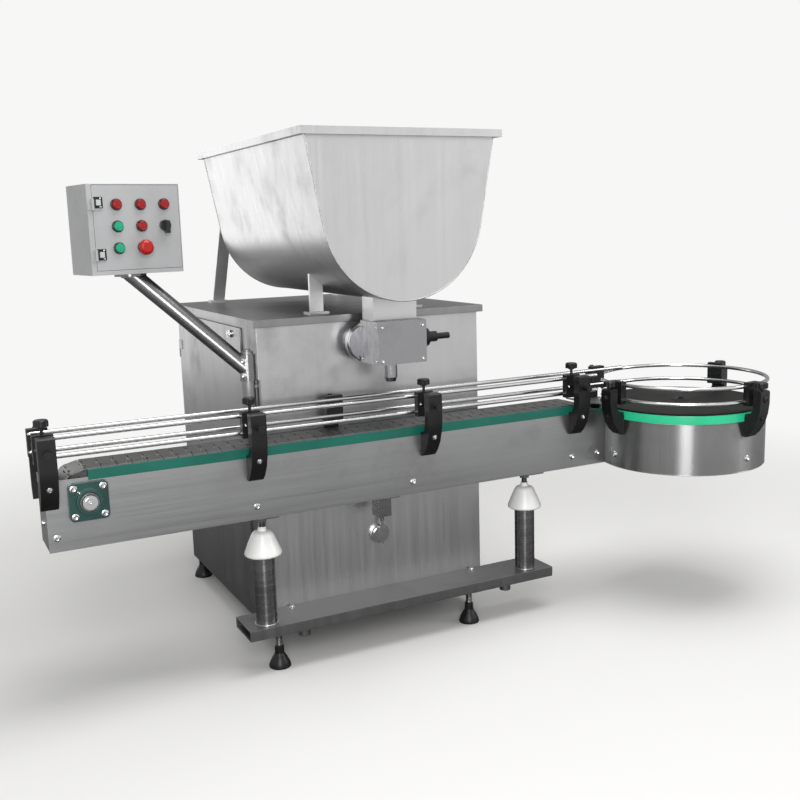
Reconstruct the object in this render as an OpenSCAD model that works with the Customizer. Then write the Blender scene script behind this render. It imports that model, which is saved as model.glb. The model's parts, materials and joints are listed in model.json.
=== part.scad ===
// Honey filling machine: hopper and piston filler on a cabinet, slat conveyor,
// turntable and a swinging control box. Millimetres, Z up, floor at z = 0.
// Places are measured from the conveyor's left end (x), the outer face of its
// front side plate (y) and the floor (z); at_origin() then centres the machine.

/* [Cabinet] */
// Distance from the conveyor's left end to the cabinet's left side
cab_x = 598; // [560:1:640]
// Width of the cabinet
cab_w = 704; // [680:1:760]
// Depth of the cabinet, front panel included
cab_d = 818; // [780:1:900]
// Height of the cabinet's floor plate above the ground
cab_z = 66; // [64:1:90]
// Top of the cabinet lid above the ground
cab_top = 972; // [960:1:990]
// Sheet thickness of the cabinet
cab_wall = 3; // [2:0.5:4]
// Height of the lid's folded edge
lid_h = 21; // [16:1:30]
// Overhang of the lid past the cabinet
lid_over = 14; // [8:1:18]
// Height of the service door
door_h = 840; // [600:1:845]
// Width of the service door
door_w = 661; // [400:1:675]

/* [Base rail, posts and feet] */
// Left end of the base rail
rail_x = 494; // [470:1:520]
// Length of the base rail
rail_len = 997; // [980:1:1100]
// Width of the base rail
rail_w = 127; // [110:1:135]
// Height of the base rail's section
rail_h = 30; // [25:1:40]
// Underside of the base rail above the ground
rail_z = 111; // [100:1:125]
// Wall of the base rail
rail_wall = 4; // [3:0.5:6]
// Distance from the rail's left end to the first post
post_inset = 64; // [50:1:80]
// Spacing of the two posts
post_span = 860; // [820:1:880]
// Diameter of the post tubes
post_d = 61; // [48:1:70]
// Height of the post tubes
post_h = 204; // [160:1:215]
// Diameter of a levelling foot's pad
foot_d = 60; // [50:1:80]
// Diameter of a levelling foot's stem
foot_stem = 18; // [12:1:22]

/* [Conveyor] */
// Width over the two side plates
conv_w = 124; // [124:1:136]
// Underside of the side plates above the ground
conv_z = 457; // [440:1:470]
// Height of the side plates
conv_h = 177; // [170:1:185]
// Thickness of the side plates
plate_t = 3; // [2:0.5:5]
// Height of the drive shaft above the ground
shaft_z = 576; // [572:1:578]
// Distance from the left end to the drive shaft
shaft_x = 100; // [96:1:120]
// Diameter of the drive shaft
shaft_d = 25; // [20:1:30]
// Pitch of the slat chain
pitch = 38.1; // [38:0.1:38.4]
// Straight slats between the two shafts
span_links = 39; // [36:1:39]
// Links that would wrap a whole sprocket
wrap_links = 12; // [12:1:12]
// Width of a slat
slat_w = 114.3; // [82.5:0.1:116]
// Thickness of a slat
slat_t = 3.2; // [2.5:0.1:3.6]
// Outside diameter of a slat's hinge eye
eye_d = 9.5; // [8:0.1:10]

/* [Bottle guides] */
// Diameter of the guide rods
rod_d = 12; // [8:1:12]
// Height of the lower guide rods
rod_low = 690; // [685:1:700]
// Distance between lower and upper guide rods
rod_gap = 46; // [36:1:46]
// Distance of the rods' axes inside the side plates' outer faces
rod_in = 20; // [20:1:26]
// Rods past the conveyor's left end
rod_out = 10; // [0:1:20]
// Width of a guide bracket
bracket_w = 42; // [30:1:46]
// Height of a guide bracket's top
bracket_top = 750; // [748:1:770]
// First front bracket from the left end
bracket_first = 8; // [6:1:16]
// Spacing of the front brackets
bracket_pitch = 518; // [500:1:520]
// Diameter of the bracket spindles
spindle_d = 12; // [8:1:14]

/* [Turntable] */
// Distance from the conveyor's left end to the turntable's centre
table_x = 1928; // [1922:1:1950]
// Turntable's centre from the front side plate
table_y = -73; // [-90:1:-60]
// Outside diameter of the drum
table_d = 512; // [500:1:530]
// Wall of the drum
table_wall = 3; // [2:0.5:5]
// Height of the green rim on the drum
rim_h = 26; // [20:1:27]
// Thickness of the rotating disc
disc_t = 5; // [3:0.5:8]
// Height of the lower guide ring
ring_low = 672; // [668:1:680]
// Distance between the two guide rings
ring_gap = 46; // [40:1:50]

/* [Hopper] */
// Hopper's centre line from the conveyor's left end
hop_x = 960; // [952:1:966]
// Front face of the hopper
hop_y = -62; // [-70:1:-50]
// Length of the hopper from front to back
hop_len = 879; // [860:1:900]
// Radius of the rounded bottom
hop_r = 239; // [228:1:245]
// Slope of the sides, in degrees from the vertical
hop_slope = 10.5; // [8:0.1:13]
// Underside of the hopper above the ground
hop_z = 1013; // [1005:1:1020]
// Top of the hopper's rim above the ground
hop_top = 1466; // [1440:1:1490]
// Sheet thickness of the hopper
hop_wall = 3; // [2:0.5:4]
// Height of the folded rim
hop_rim_h = 20; // [14:1:30]
// Width of the folded rim outside the walls
hop_rim_w = 18; // [10:1:20]
// Width of a hopper leg
leg_w = 40; // [24:1:44]

/* [Filling valve and cylinder] */
// Width of the valve block
block_w = 150; // [140:1:156]
// Depth of the valve block
block_d = 112; // [108:1:114]
// Underside of the valve block
block_z = 839; // [834:1:844]
// Height of the valve block
block_h = 118; // [112:1:122]
// Diameter of the rotary plug
plug_d = 66; // [56:1:70]
// Product cylinder's axis from the hopper's centre line
cyl_off = 58; // [54:1:62]
// Outside diameter of the product cylinder
cyl_d = 84; // [80:1:86]
// Bore of the product cylinder
cyl_bore = 78; // [64:1:79]
// Stroke of the product piston
stroke = 150; // [80:1:150]
// Diameter of the piston rod
piston_rod_d = 20; // [16:1:24]
// Outside diameter of the filling nozzle
nozzle_d = 38; // [30:1:44]
// Bore of the filling nozzle
nozzle_bore = 26; // [16:1:28]
// Length of the nozzle below the block
nozzle_len = 58; // [40:1:60]

/* [Control box] */
// Width of the box door
boxdoor_w = 230; // [210:1:250]
// Height of the box door
boxdoor_h = 212; // [200:1:230]
// Depth of the control box
box_d = 142; // [120:1:170]
// Underside of the control box above the ground
box_z = 1111; // [1090:1:1130]
// Sheet thickness of the box
box_wall = 2; // [1.5:0.1:2]
// Angle that the box is turned on its arm
box_turn = 10; // [0:1:12]
// Spacing of the push buttons across the door
button_dx = 64; // [56:1:68]
// Spacing of the push buttons up the door
button_dz = 54.5; // [48:0.5:58]
// Outside diameter of a button's bezel
bezel_d = 29.5; // [27:0.5:34]
// Diameter of the emergency stop's head
stop_d = 39; // [34:1:42]
// Diameter of the swing arm's tube
arm_d = 45; // [36:1:45]
// Reach of the swing arm
arm_reach = 293; // [275:1:310]
// Direction of the swing arm, in degrees from the conveyor's direction
arm_turn = 162.5; // [150:0.1:180]

/* [Hidden] */
// Running clearance of a shaft in its bore
fit = 0.05;
// Gap between parts that move past each other
gap = 0.3;
// Gap round a door in its frame
door_gap = 1;

// Cabinet
cab_y = conv_w + 18;
cab_x1 = cab_x + cab_w;
cab_y1 = cab_y + cab_d;
cab_cx = cab_x + cab_w / 2;
shell_top = cab_top - cab_wall;
door_z = cab_z + 34;
door_y1 = cab_y1 - 30;
door_y0 = door_y1 - door_w;
door_t = 5.5;
door_x = cab_x - 0.5 - door_t;
open_y = [door_y0 + 10, door_y1 - 25];
open_z = [door_z + 10, door_z + door_h - 10];
hinge_r = 4;
hinge_x = cab_x - 0.5 - hinge_r;
hinge_y = door_y1 + 8;
hinge_pin_r = 2;
hinge_len = 60;
hinge_z = [door_z + 90, door_z + door_h - 90 - hinge_len];
lock_y = door_y0 + 83;
lock_z = door_z + door_h - 22;
lock_r = 11;
lock_stem_r = 8;
latch_z = 311;
latch_r = 29.5;
latch_bar_x = cab_cx + 24;

// Base rail, posts and feet
rail_y1 = cab_y;
rail_y0 = rail_y1 - rail_w;
rail_top = rail_z + rail_h;
lane_y = conv_w / 2;
post_x = [rail_x + post_inset, rail_x + post_inset + post_span];
post_top = rail_top + post_h;
cap_h = 80;
cap_z = post_top - 8;
stud_r = 8;
saddle_t = 4;
saddle_z = conv_z - saddle_t;
nut_h = 21;
stop_x = cab_cx - 27;
foot_inset = 19;
foot_pos = [
    [rail_x + 99, rail_y0 + 55, rail_z],
    [rail_x + 721, rail_y0 + 55, rail_z],
    [cab_x + foot_inset, cab_y1 - 44, cab_z],
    [cab_x1 - foot_inset, cab_y1 - 44, cab_z]
];

// Conveyor
conv_top = conv_z + conv_h;
wrap_r = pitch / (2 * sin(180 / wrap_links));
eye_r = eye_d / 2;
span = pitch * span_links;
idler_x = shaft_x + span;
pin_top = shaft_z + wrap_r;
pin_low = shaft_z - wrap_r;
slat_top = pin_top + eye_r;
slat_under = slat_top - slat_t;
mid_eye = 14;
eye_gap = 0.4;
side_eye = 36;
// The teeth end inside the hinge eyes, so they turn in the chain, which stands still
tooth_r = wrap_r - eye_r - 0.4;
sprocket_t = 10;
sprocket_off = 25;
cross_r = 7;
cross_z = 489;
cross_x = [20, 528, 996, idler_x - 31];
bolt_r = 7;
bolt_h = 5;
strip_in = 20;
strip_out = 1;
strip_z = conv_top - 8;
axle_r = 8;
bearing_w = 95;
bearing_t = 14;
boss_r = 31;
boss_t = 10;
bearing_bolt = 35;
collar_r = 18;
gear_w = 96;
gear_l = 80;
gear_h = 118;
worm_drop = 40;
motor_r = 50;
motor_len = 220;

// Turntable
arch_t = 27;
knob_r = 18;
table_r = table_d / 2;
function table_edge(y) = table_x - sqrt(pow(table_r, 2) - pow(y - table_y, 2));
front_end = table_edge(0) - gap;
rear_end = table_edge(conv_w - plate_t) - gap;
rim_z = conv_top - 22;
rim_top = rim_z + rim_h;
rim_w = 20;
disc_z = rim_top + 0.5;
disc_r = table_r - 3;
disc_top = disc_z + disc_t;
ring_a0 = 158;
ring_a1 = 486;
ring_bracket_a = [182, 277, 382];
ring_bracket_out = table_r + 54;
ring_arm_top = ring_low + 36;
ring_knob_at = ring_bracket_out - arch_t / 2;
table_shaft_r = 15;

// Guides
rod_r = rod_d / 2;
rod_z = [rod_low, rod_low + rod_gap];
spindle_r = spindle_d / 2;
spindle_z = rod_low + rod_gap / 2;
foot_z = conv_top - 68;
arch_out = 54;
flat_in = 4;
flat_out = 16;
flat_top = bracket_top - 24;
front_bracket_x = [for (i = [0:3]) bracket_first + i * bracket_pitch];
rear_bracket_x = [bracket_first, cab_x + 207, rear_end - 27];
clip_w = 50;
clip_t = 20;
clip_lip = 4;
clip_z = [rod_low - rod_r - 6, rod_low + rod_gap + rod_r + 6];
spindle_out = 18;
knob_h = 20;
small_knob_r = 7;
knob_lift = 16;
knob_stud_r = 4;

// Hopper
hop_cz = hop_z + hop_r;
hop_y1 = hop_y + hop_len;
hop_edge = hop_top - hop_rim_h;
hop_bite = 0.4;
function side_at(r, z) = r / cos(hop_slope) + (z - hop_cz) * tan(hop_slope);
leg_t = 10;
leg_rear = 233;
leg_front = 152;
leg_front_y = hop_y + 276;
leg_foot_t = 6;
neck_w = 134;
neck_d = 70;
neck_y = 14;
outlet_r = 28;
outlet_y = neck_y + neck_d / 2;

// Filling valve and cylinder
block_y0 = -28;
block_y1 = block_y0 + block_d;
block_top = block_z + block_h;
plug_r = plug_d / 2;
plug_y = outlet_y;
plug_z = block_z + block_h / 2;
cyl_x = hop_x - cyl_off;
flange_t = 12;
flange_y = block_y1 + flange_t;
cyl_y0 = flange_y + 0.5;
cyl_len = 300;
cyl_z = plug_z - 6;
piston_t = 30;
piston_y = cyl_y0 + 4;
ferrule_r = cyl_d / 2 + 6;
clamp_r = ferrule_r + 1;
nozzle_y = outlet_y + 3;
air_r = 42;
air_bore = 40;
air_cap = 90;
air_cap_t = 25;
air_y = 440;
air_piston_t = 20;
air_len = stroke + air_piston_t + 4;
shelf_z = cyl_z - air_cap / 2;

// Control box
arm_x = cab_x - 27;
arm_y = cab_y + 6;
arm_post_z = 700;
arm_seat_z = 808;
arm_post_r = 19;
arm_pin_r = 10;
arm_ring_r = 17;
sleeve_r = 23;
sleeve_h = 72;
arm_tube_z = arm_seat_z + 30;
arm_top = [arm_x + arm_reach * cos(arm_turn), arm_y + arm_reach * sin(arm_turn)];
box_frame_l = 14;
box_frame_b = 12;
box_frame = 3;
box_u0 = -box_frame_l;
box_u1 = boxdoor_w + box_frame;
boxdoor_z = box_z + box_frame_b;
box_top = boxdoor_z + boxdoor_h + box_frame;
boxdoor_t = 14;
arm_u = 113;
arm_v = box_d / 2;
button_u = 60;
button_w = 55;
bezel_t = 6;
bezel_floor = 1.2;
barrel_r = 11;
button_r = 8.5;
cap_r = 11.5;
cap_out = 5;
button_travel = 4;
boxhinge_r = 4;
boxhinge_v = -boxhinge_r - 0.4;
boxhinge_z = [24, boxdoor_h - 34 - 28];
boxhinge_len = 28;

// Centre of the machine's outline
x_lo = min(-rod_out, bracket_first - clip_w / 2);
bracket_half = bracket_w / 2;
x_hi = table_x + max([for (a = ring_bracket_a) ring_bracket_out * cos(a) + bracket_half * abs(sin(a))]);
y_lo = table_y - max([for (a = ring_bracket_a) -ring_knob_at * sin(a) + knob_r]);
y_hi = cab_y1 + lid_over;

$fn = 48;

steel = [0.70, 0.71, 0.72];
bright = [0.86, 0.87, 0.88];
dark = [0.08, 0.08, 0.09];
green = [0.05, 0.55, 0.38];

// Moves the machine so that its outline is centred on the origin
module at_origin() translate([-(x_lo + x_hi) / 2, -(y_lo + y_hi) / 2, 0]) children();

// Box between two corners
module block(a, b) translate(a) cube(b - a);

// Round bars along an axis
module bar_x(r, x0, x1, y, z) translate([x0, y, z]) rotate([0, 90, 0]) cylinder(r = r, h = x1 - x0);
module bar_y(r, y0, y1, x, z) translate([x, y0, z]) rotate([-90, 0, 0]) cylinder(r = r, h = y1 - y0);
module bar_z(r, z0, z1, x, y) translate([x, y, z0]) cylinder(r = r, h = z1 - z0);

// Box that is open at its ends along X
module tube_x(a, b, t) difference() {
    block(a, b);
    block(a + [-1, t, t], b + [1, -t, -t]);
}

// Frame of the control box: u across the door, v into the box, z up
module box_frame_of() translate([arm_top[0], arm_top[1], 0]) rotate([0, 0, box_turn])
    translate([-arm_u, -arm_v, 0]) children();

// Frame of one push button: row and column on the door, from below left
module button_at(col, row) box_frame_of()
    translate([button_u + col * button_dx, 0, boxdoor_z + button_w + row * button_dz])
    rotate([-90, 0, 0]) children();

// Cabinet
module cabinet_shell() color(steel) at_origin() {
    difference() {
        block([cab_x, cab_y + cab_wall, cab_z], [cab_x1, cab_y1, shell_top]);
        block([cab_x + cab_wall, cab_y, cab_z + cab_wall],
            [cab_x1 - cab_wall, cab_y1 - cab_wall, shell_top + 1]);
        block([cab_x - 1, open_y[0], open_z[0]], [cab_x + cab_wall + 1, open_y[1], open_z[1]]);
    }
    // Flanges behind the front panel and the bar that the latch hooks behind
    flange = 25;
    for (x = [cab_x + cab_wall, cab_x1 - cab_wall - flange, latch_bar_x])
        block([x, cab_y + cab_wall, cab_z + cab_wall],
            [x + (x == latch_bar_x ? 2 * cab_wall : flange), cab_y + 2 * cab_wall, cyl_z - cyl_d]);
    // Shelf that carries the air cylinder
    block([cab_x + cab_wall, air_y - 40, shelf_z - cab_wall],
        [cab_x1 - cab_wall, air_y + air_len + 3 * air_cap_t, shelf_z]);
    // Fixed halves of the door hinges, with their pins
    for (z = hinge_z) {
        bar_z(hinge_r, z, z + hinge_len / 2 - gap, hinge_x, hinge_y);
        bar_z(hinge_pin_r, z, z + hinge_len, hinge_x, hinge_y);
        block([cab_x - 2.5, hinge_y, z], [cab_x, hinge_y + 18, z + hinge_len / 2 - gap]);
    }
}

module front_panel() color(steel) at_origin() difference() {
    block([cab_x, cab_y, cab_z], [cab_x1, cab_y + cab_wall, shell_top]);
    bar_y(cyl_d / 2 + 0.2, cab_y - 1, cab_y + cab_wall + 1, cyl_x, cyl_z);
    bar_y(lock_stem_r + fit, cab_y - 1, cab_y + cab_wall + 1, cab_cx, latch_z);
}

module cabinet_lid() color(steel) at_origin() difference() {
    block([cab_x - lid_over, cab_y - lid_over, cab_top - lid_h],
        [cab_x1 + lid_over, cab_y1 + lid_over, cab_top]);
    block([cab_x - lid_over + cab_wall, cab_y - lid_over + cab_wall, cab_top - lid_h - 1],
        [cab_x1 + lid_over - cab_wall, cab_y1 + lid_over - cab_wall, shell_top]);
}

module service_door() color(steel) at_origin() {
    difference() {
        block([door_x, door_y0, door_z], [cab_x - 0.5, door_y1, door_z + door_h]);
        block([door_x + 2, door_y0 + 2, door_z + 2], [cab_x, door_y1 - 2, door_z + door_h - 2]);
        bar_x(lock_stem_r + fit, door_x - 1, cab_x, lock_y, lock_z);
    }
    for (z = hinge_z) difference() {
        union() {
            bar_z(hinge_r, z + hinge_len / 2, z + hinge_len, hinge_x, hinge_y);
            block([hinge_x - hinge_r, hinge_y - 34, z + hinge_len / 2], [door_x, hinge_y, z + hinge_len]);
        }
        bar_z(hinge_pin_r + fit, z - 1, z + hinge_len + 1, hinge_x, hinge_y);
    }
}

module door_lock() color(bright) at_origin() {
    bar_x(lock_r, door_x - 5, door_x - gap, lock_y, lock_z);
    bar_x(lock_stem_r, door_x - gap, cab_x + 9, lock_y, lock_z);
    block([door_x - 11, lock_y - 2.5, lock_z - 9], [door_x - 5, lock_y + 2.5, lock_z + 9]);
    block([cab_x + 5, lock_y - 9, lock_z - 9], [cab_x + 9, lock_y + 30, lock_z + 9]);
}

module panel_latch() color(bright) at_origin() {
    bar_y(latch_r, cab_y - 10, cab_y - gap, cab_cx, latch_z);
    bar_y(latch_r - 7, cab_y - 14, cab_y - 10, cab_cx, latch_z);
    bar_y(lock_stem_r, cab_y - gap, cab_y + 14, cab_cx, latch_z);
    block([cab_cx - 5, cab_y - 24, latch_z - 28], [cab_cx + 5, cab_y - 14, latch_z + 50]);
    block([cab_cx - 10, cab_y + 7, latch_z - 9], [latch_bar_x + 18, cab_y + 11, latch_z + 9]);
}

// Feet, rail and posts
module foot(p) translate([p[0], p[1], 0]) {
    bell = foot_d / 2;
    rotate_extrude() polygon([
        [0, 0], [bell, 0], [bell, 7], [bell - 3, 16], [bell - 9, 28], [bell - 15, 37],
        [bell - 17, 42], [bell - 17, 60], [foot_stem / 2, 62], [foot_stem / 2, p[2]], [0, p[2]]
    ]);
}

module levelling_feet() color(dark) at_origin() for (p = foot_pos) foot(p);

module base_rail() color(steel) at_origin() {
    tube_x([rail_x, rail_y0, rail_z], [rail_x + rail_len, rail_y1, rail_top], rail_wall);
    // Round glides under the rail
    for (x = [rail_x + 174, rail_x + 849]) bar_z(17, rail_z - 30, rail_z, x, lane_y);
}

module posts() color(steel) at_origin() for (x = post_x) difference() {
    bar_z(post_d / 2, rail_top, post_top, x, lane_y);
    bar_z(post_d / 2 - 3, rail_top + 6, post_top + 1, x, lane_y);
}

module post_caps() color("white") at_origin() for (x = post_x) translate([x, lane_y, cap_z])
    rotate_extrude() polygon([
        [stud_r + 0.1, post_top - cap_z], [post_d / 2 + 0.1, post_top - cap_z], [post_d / 2 + 0.1, 0],
        [post_d / 2 + 18, 0], [post_d / 2 + 21, 3], [post_d / 2 + 21, 8], [post_d / 2 + 17, 18],
        [post_d / 2 + 9, 38], [post_d / 2, 58], [post_d / 2 - 5, 65], [post_d / 2 - 12, 68],
        [stud_r + 4, 69], [stud_r + 3, cap_h], [stud_r + 0.1, cap_h]
    ]);

module height_screws() color(bright) at_origin() {
    for (x = post_x) {
        bar_z(stud_r, post_top, saddle_z, x, lane_y);
        translate([x, lane_y, saddle_z - nut_h]) cylinder(r = 16, h = nut_h, $fn = 6);
        block([x - 30, 0, saddle_z], [x + 30, conv_w, conv_z]);
    }
    // Stop block with its pin under the middle of the conveyor
    block([stop_x - 30, 0, saddle_z], [stop_x + 30, conv_w, conv_z]);
    block([stop_x - 21, lane_y - 21, saddle_z - 63], [stop_x + 21, lane_y + 21, saddle_z]);
    bar_z(stud_r - 2, saddle_z - 80, saddle_z - 63, stop_x, lane_y);
}

// Conveyor
module side_plate(y0, x1) {
    difference() {
        union() {
            block([0, y0, conv_z], [x1, y0 + plate_t, conv_top]);
            // Folded lower edge
            lip = 14;
            lip_y = y0 < lane_y ? y0 + plate_t : y0 - lip;
            block([6, lip_y, conv_z], [front_end - 60, lip_y + lip, conv_z + plate_t]);
        }
        bar_y(collar_r + 2, y0 - 1, y0 + plate_t + 1, shaft_x, shaft_z);
        bar_y(axle_r + 0.1, y0 - 1, y0 + plate_t + 1, idler_x, shaft_z);
    }
}

module front_side_plate() color(steel) at_origin() side_plate(0, front_end);

module rear_side_plate() color(steel) at_origin() side_plate(conv_w - plate_t, rear_end);

module cross_members() color(steel) at_origin() {
    for (x = cross_x) bar_y(cross_r, plate_t, conv_w - plate_t, x, cross_z);
    // Idler axle
    bar_y(axle_r, 0, conv_w + 6, idler_x, shaft_z);
    // End cover
    block([0, plate_t, conv_z + plate_t], [plate_t, conv_w - plate_t, conv_top - 24]);
    // Channel that carries the turntable
    difference() {
        block([idler_x + 24, plate_t, conv_z + plate_t], [rear_end, conv_w - plate_t, cross_z]);
        block([idler_x + 23, plate_t + 5, conv_z + plate_t + 5],
            [rear_end + 1, conv_w - plate_t - 5, cross_z + 1]);
        bar_z(table_r, conv_z - 1, conv_top, table_x, table_y);
    }
}

module bolt_head(r, h) {
    cylinder(r = r, h = h * 0.45);
    translate([0, 0, h * 0.45]) cylinder(r1 = r, r2 = r * 0.72, h = h * 0.55);
}

module frame_bolts() color(bright) at_origin() {
    for (x = [for (c = cross_x) c, front_end - 30]) {
        translate([x, 0, cross_z + 3]) rotate([90, 0, 0]) bolt_head(bolt_r, bolt_h);
        translate([x, conv_w, cross_z + 3]) rotate([-90, 0, 0]) bolt_head(bolt_r, bolt_h);
    }
    for (z = [conv_z + 63, conv_z + 121])
        translate([0, lane_y - 4, z]) rotate([0, -90, 0]) bolt_head(bolt_r, bolt_h);
    for (a = [178, 276.5]) translate([table_x, table_y, cross_z + 8]) rotate([0, 90, a])
        translate([0, 0, table_r]) bolt_head(bolt_r + 1, bolt_h);
    for (x = [cab_x + 60, cab_x1 - 40])
        translate([x, rail_y1 - 14, rail_top]) bolt_head(bolt_r, bolt_h);
    for (s = [-1, 1], t = [-1, 1]) {
        translate([shaft_x + s * bearing_bolt, -bearing_t, shaft_z + t * bearing_bolt])
            rotate([90, 0, 0]) bolt_head(bolt_r, bolt_h + 2);
        translate([shaft_x + s * bearing_bolt, conv_w + bearing_t, shaft_z + t * bearing_bolt])
            rotate([-90, 0, 0]) bolt_head(bolt_r, bolt_h + 2);
    }
}

module wear_strips() color(green) at_origin() for (s = [0, 1]) translate([0, s * conv_w, 0]) mirror([0, s, 0])
    difference() {
        block([shaft_x + 4, -strip_out, strip_z], [idler_x - 4, strip_in, slat_under]);
        block([shaft_x, 0, conv_top - 9], [idler_x, plate_t, conv_top]);
        block([shaft_x, plate_t + 2, conv_top - 9], [idler_x, strip_in + 1, conv_top - 2]);
    }

// One slat: its rear hinge pin at the origin, its front pin at x = pitch
module slat() {
    half = slat_w / 2;
    edge = eye_r + 0.55;
    wing = side_eye + eye_gap;
    under = eye_r - slat_t;
    block([edge, -half, under], [pitch - edge, half, eye_r]);
    for (s = [-1, 1]) {
        block([0.8, s > 0 ? wing : -half, under], [pitch - 0.8, s > 0 ? half : -wing, eye_r]);
        block([pitch - edge, s > 0 ? mid_eye + eye_gap : -side_eye, under],
            [pitch, s > 0 ? side_eye : -mid_eye - eye_gap, eye_r]);
        bar_y(eye_r, s > 0 ? mid_eye + eye_gap : -side_eye, s > 0 ? side_eye : -mid_eye - eye_gap, pitch, 0);
    }
    block([0, -mid_eye, under], [edge, mid_eye, eye_r]);
    bar_y(eye_r, -mid_eye, mid_eye, 0, 0);
}

module slat_chain() color(bright) at_origin() translate([0, lane_y, shaft_z]) {
    for (i = [0:span_links - 1]) {
        translate([shaft_x + i * pitch, 0, wrap_r]) slat();
        translate([idler_x - i * pitch, 0, -wrap_r]) rotate([0, 180, 0]) slat();
    }
    step = 360 / wrap_links;
    for (i = [0:wrap_links / 2 - 1]) {
        translate([idler_x, 0, 0]) rotate([0, i * step, 0]) translate([0, 0, wrap_r])
            rotate([0, step / 2, 0]) slat();
        translate([shaft_x, 0, 0]) rotate([0, 180 + i * step, 0]) translate([0, 0, wrap_r])
            rotate([0, step / 2, 0]) slat();
    }
}

module drive_shaft() color(bright) at_origin() {
    bar_y(shaft_d / 2, -bearing_t - boss_t - 8, conv_w + bearing_t + boss_t + 4 + gear_l, shaft_x, shaft_z);
    // Locking collar outside the front bearing
    bar_y(collar_r, -bearing_t - boss_t - 5, -bearing_t - boss_t - gap, shaft_x, shaft_z);
}

// A pair of sprockets with a seat for each hinge eye
module sprocket_pair(x, bore) translate([x, lane_y, shaft_z]) rotate([-90, 0, 0]) difference() {
    union() {
        for (s = [-1, 1]) translate([0, 0, s * sprocket_off - sprocket_t / 2])
            cylinder(r = tooth_r, h = sprocket_t, $fn = 96);
        translate([0, 0, -sprocket_off - sprocket_t / 2 - 8])
            cylinder(r = 24, h = 2 * sprocket_off + sprocket_t + 16);
    }
    cylinder(r = bore, h = 200, center = true);
    for (i = [0:wrap_links - 1]) rotate([0, 0, i * 360 / wrap_links]) {
        translate([0, tooth_r + eye_r - 3, 0]) cylinder(r = eye_r + gap, h = 100, center = true);
        rotate([0, 0, 180 / wrap_links]) translate([0, 47, 0]) cylinder(r = 8, h = 100, center = true);
    }
}

module drive_sprockets() color("dimgray") at_origin() sprocket_pair(shaft_x, shaft_d / 2 + 0.01);

module idler_sprockets() color("dimgray") at_origin() sprocket_pair(idler_x, axle_r + fit);

module bearing() translate([shaft_x, 0, shaft_z]) rotate([90, 0, 0]) difference() {
    union() {
        corner = 12;
        reach = bearing_w / 2 - corner;
        linear_extrude(height = bearing_t) union() {
            square([bearing_w, 2 * reach], center = true);
            square([2 * reach, bearing_w], center = true);
            for (s = [-1, 1], t = [-1, 1]) translate([s * reach, t * reach]) circle(r = corner);
        }
        cylinder(r1 = boss_r + 3, r2 = boss_r, h = bearing_t + boss_t);
    }
    translate([0, 0, -1]) cylinder(r = shaft_d / 2 + fit, h = bearing_t + boss_t + 2);
    // Recess round the inner ring
    translate([0, 0, bearing_t + boss_t - 4]) difference() {
        cylinder(r = boss_r - 6, h = 5);
        translate([0, 0, -1]) cylinder(r = collar_r, h = 7);
    }
}

module shaft_bearings() color([0.04, 0.30, 0.25]) at_origin() {
    bearing();
    translate([0, conv_w, 0]) mirror([0, 1, 0]) bearing();
}

module gearmotor() color("slategray") at_origin() {
    y0 = conv_w + bearing_t + boss_t + 2;
    y1 = y0 + gear_l;
    worm_z = shaft_z - worm_drop;
    motor_x = shaft_x + gear_w / 2 + 2;
    difference() {
        union() {
            bar_y(gear_w / 2, y0, y1, shaft_x, shaft_z);
            block([shaft_x - gear_w / 2 + 3, y0 + 6, worm_z - 24], [motor_x, y1 - 6, shaft_z - 4]);
        }
        bar_y(shaft_d / 2 + fit, y0 - 1, y1 + 1, shaft_x, shaft_z);
    }
    motor_y = (y0 + y1) / 2;
    bar_x(motor_r + 5, motor_x, motor_x + 12, motor_y, worm_z);
    bar_x(motor_r - 5, motor_x + 12, motor_x + motor_len - 40, motor_y, worm_z);
    // Cooling fins of the motor
    for (i = [0:15]) translate([motor_x + 20, motor_y, worm_z]) rotate([i * 22.5, 0, 0])
        block([0, -1.5, motor_r - 8], [motor_len - 70, 1.5, motor_r - 0.5]);
    bar_x(motor_r, motor_x + motor_len - 48, motor_x + motor_len, motor_y, worm_z);
    // Torque link to the side plate
    block([shaft_x + 10, conv_w, worm_z - 20], [shaft_x + 40, y0 + 8, worm_z - 10]);
}

module transfer_plate() color(bright) at_origin() difference() {
    x0 = idler_x + 34;
    x1 = front_end + 8;
    high = slat_top - 0.5;
    low = disc_top + 1;
    union() {
        translate([0, conv_w - 6, 0]) rotate([90, 0, 0]) linear_extrude(height = conv_w - 12) polygon([
            [x0, high - 3], [x0, high], [x1, low], [rear_end + 4, low], [rear_end + 4, low - 3], [x1, low - 3]
        ]);
        for (y = [plate_t, conv_w - plate_t - 3.1])
            block([idler_x + 81, y, conv_top - 60], [front_end - 2, y + 3.1, low]);
    }
    bar_z(disc_r + 2, conv_z, slat_top + 1, table_x, table_y);
}

// Bottle guides
// Arched arm from the side plate (y = 0) outwards, and a flat one for the narrow side
module arch_arm(seat, top) rotate([90, 0, -90]) translate([0, 0, -bracket_w / 2])
    linear_extrude(height = bracket_w) polygon([
        [-seat, foot_z], [8, foot_z], [24, foot_z + 16], [40, foot_z + 42], [50, foot_z + 74],
        [arch_out, foot_z + 104], [arch_out, top - 4], [arch_out - 4, top], [arch_out - arch_t, top],
        [arch_out - arch_t, conv_top + 16], [arch_out - arch_t - 8, conv_top + 4],
        [strip_out + gap, conv_top + 0.5], [strip_out + gap, strip_z - gap], [-seat, strip_z - gap]
    ]);

module flat_arm() rotate([90, 0, -90]) translate([0, 0, -bracket_w / 2])
    linear_extrude(height = bracket_w) polygon([
        [0, foot_z], [flat_in, foot_z], [flat_out, foot_z + 30], [flat_out, flat_top - 3],
        [flat_out - 3, flat_top], [flat_in, flat_top], [flat_in, conv_top + 3],
        [strip_out + gap, conv_top - 1], [strip_out + gap, strip_z - gap], [0, strip_z - gap]
    ]);

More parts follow.
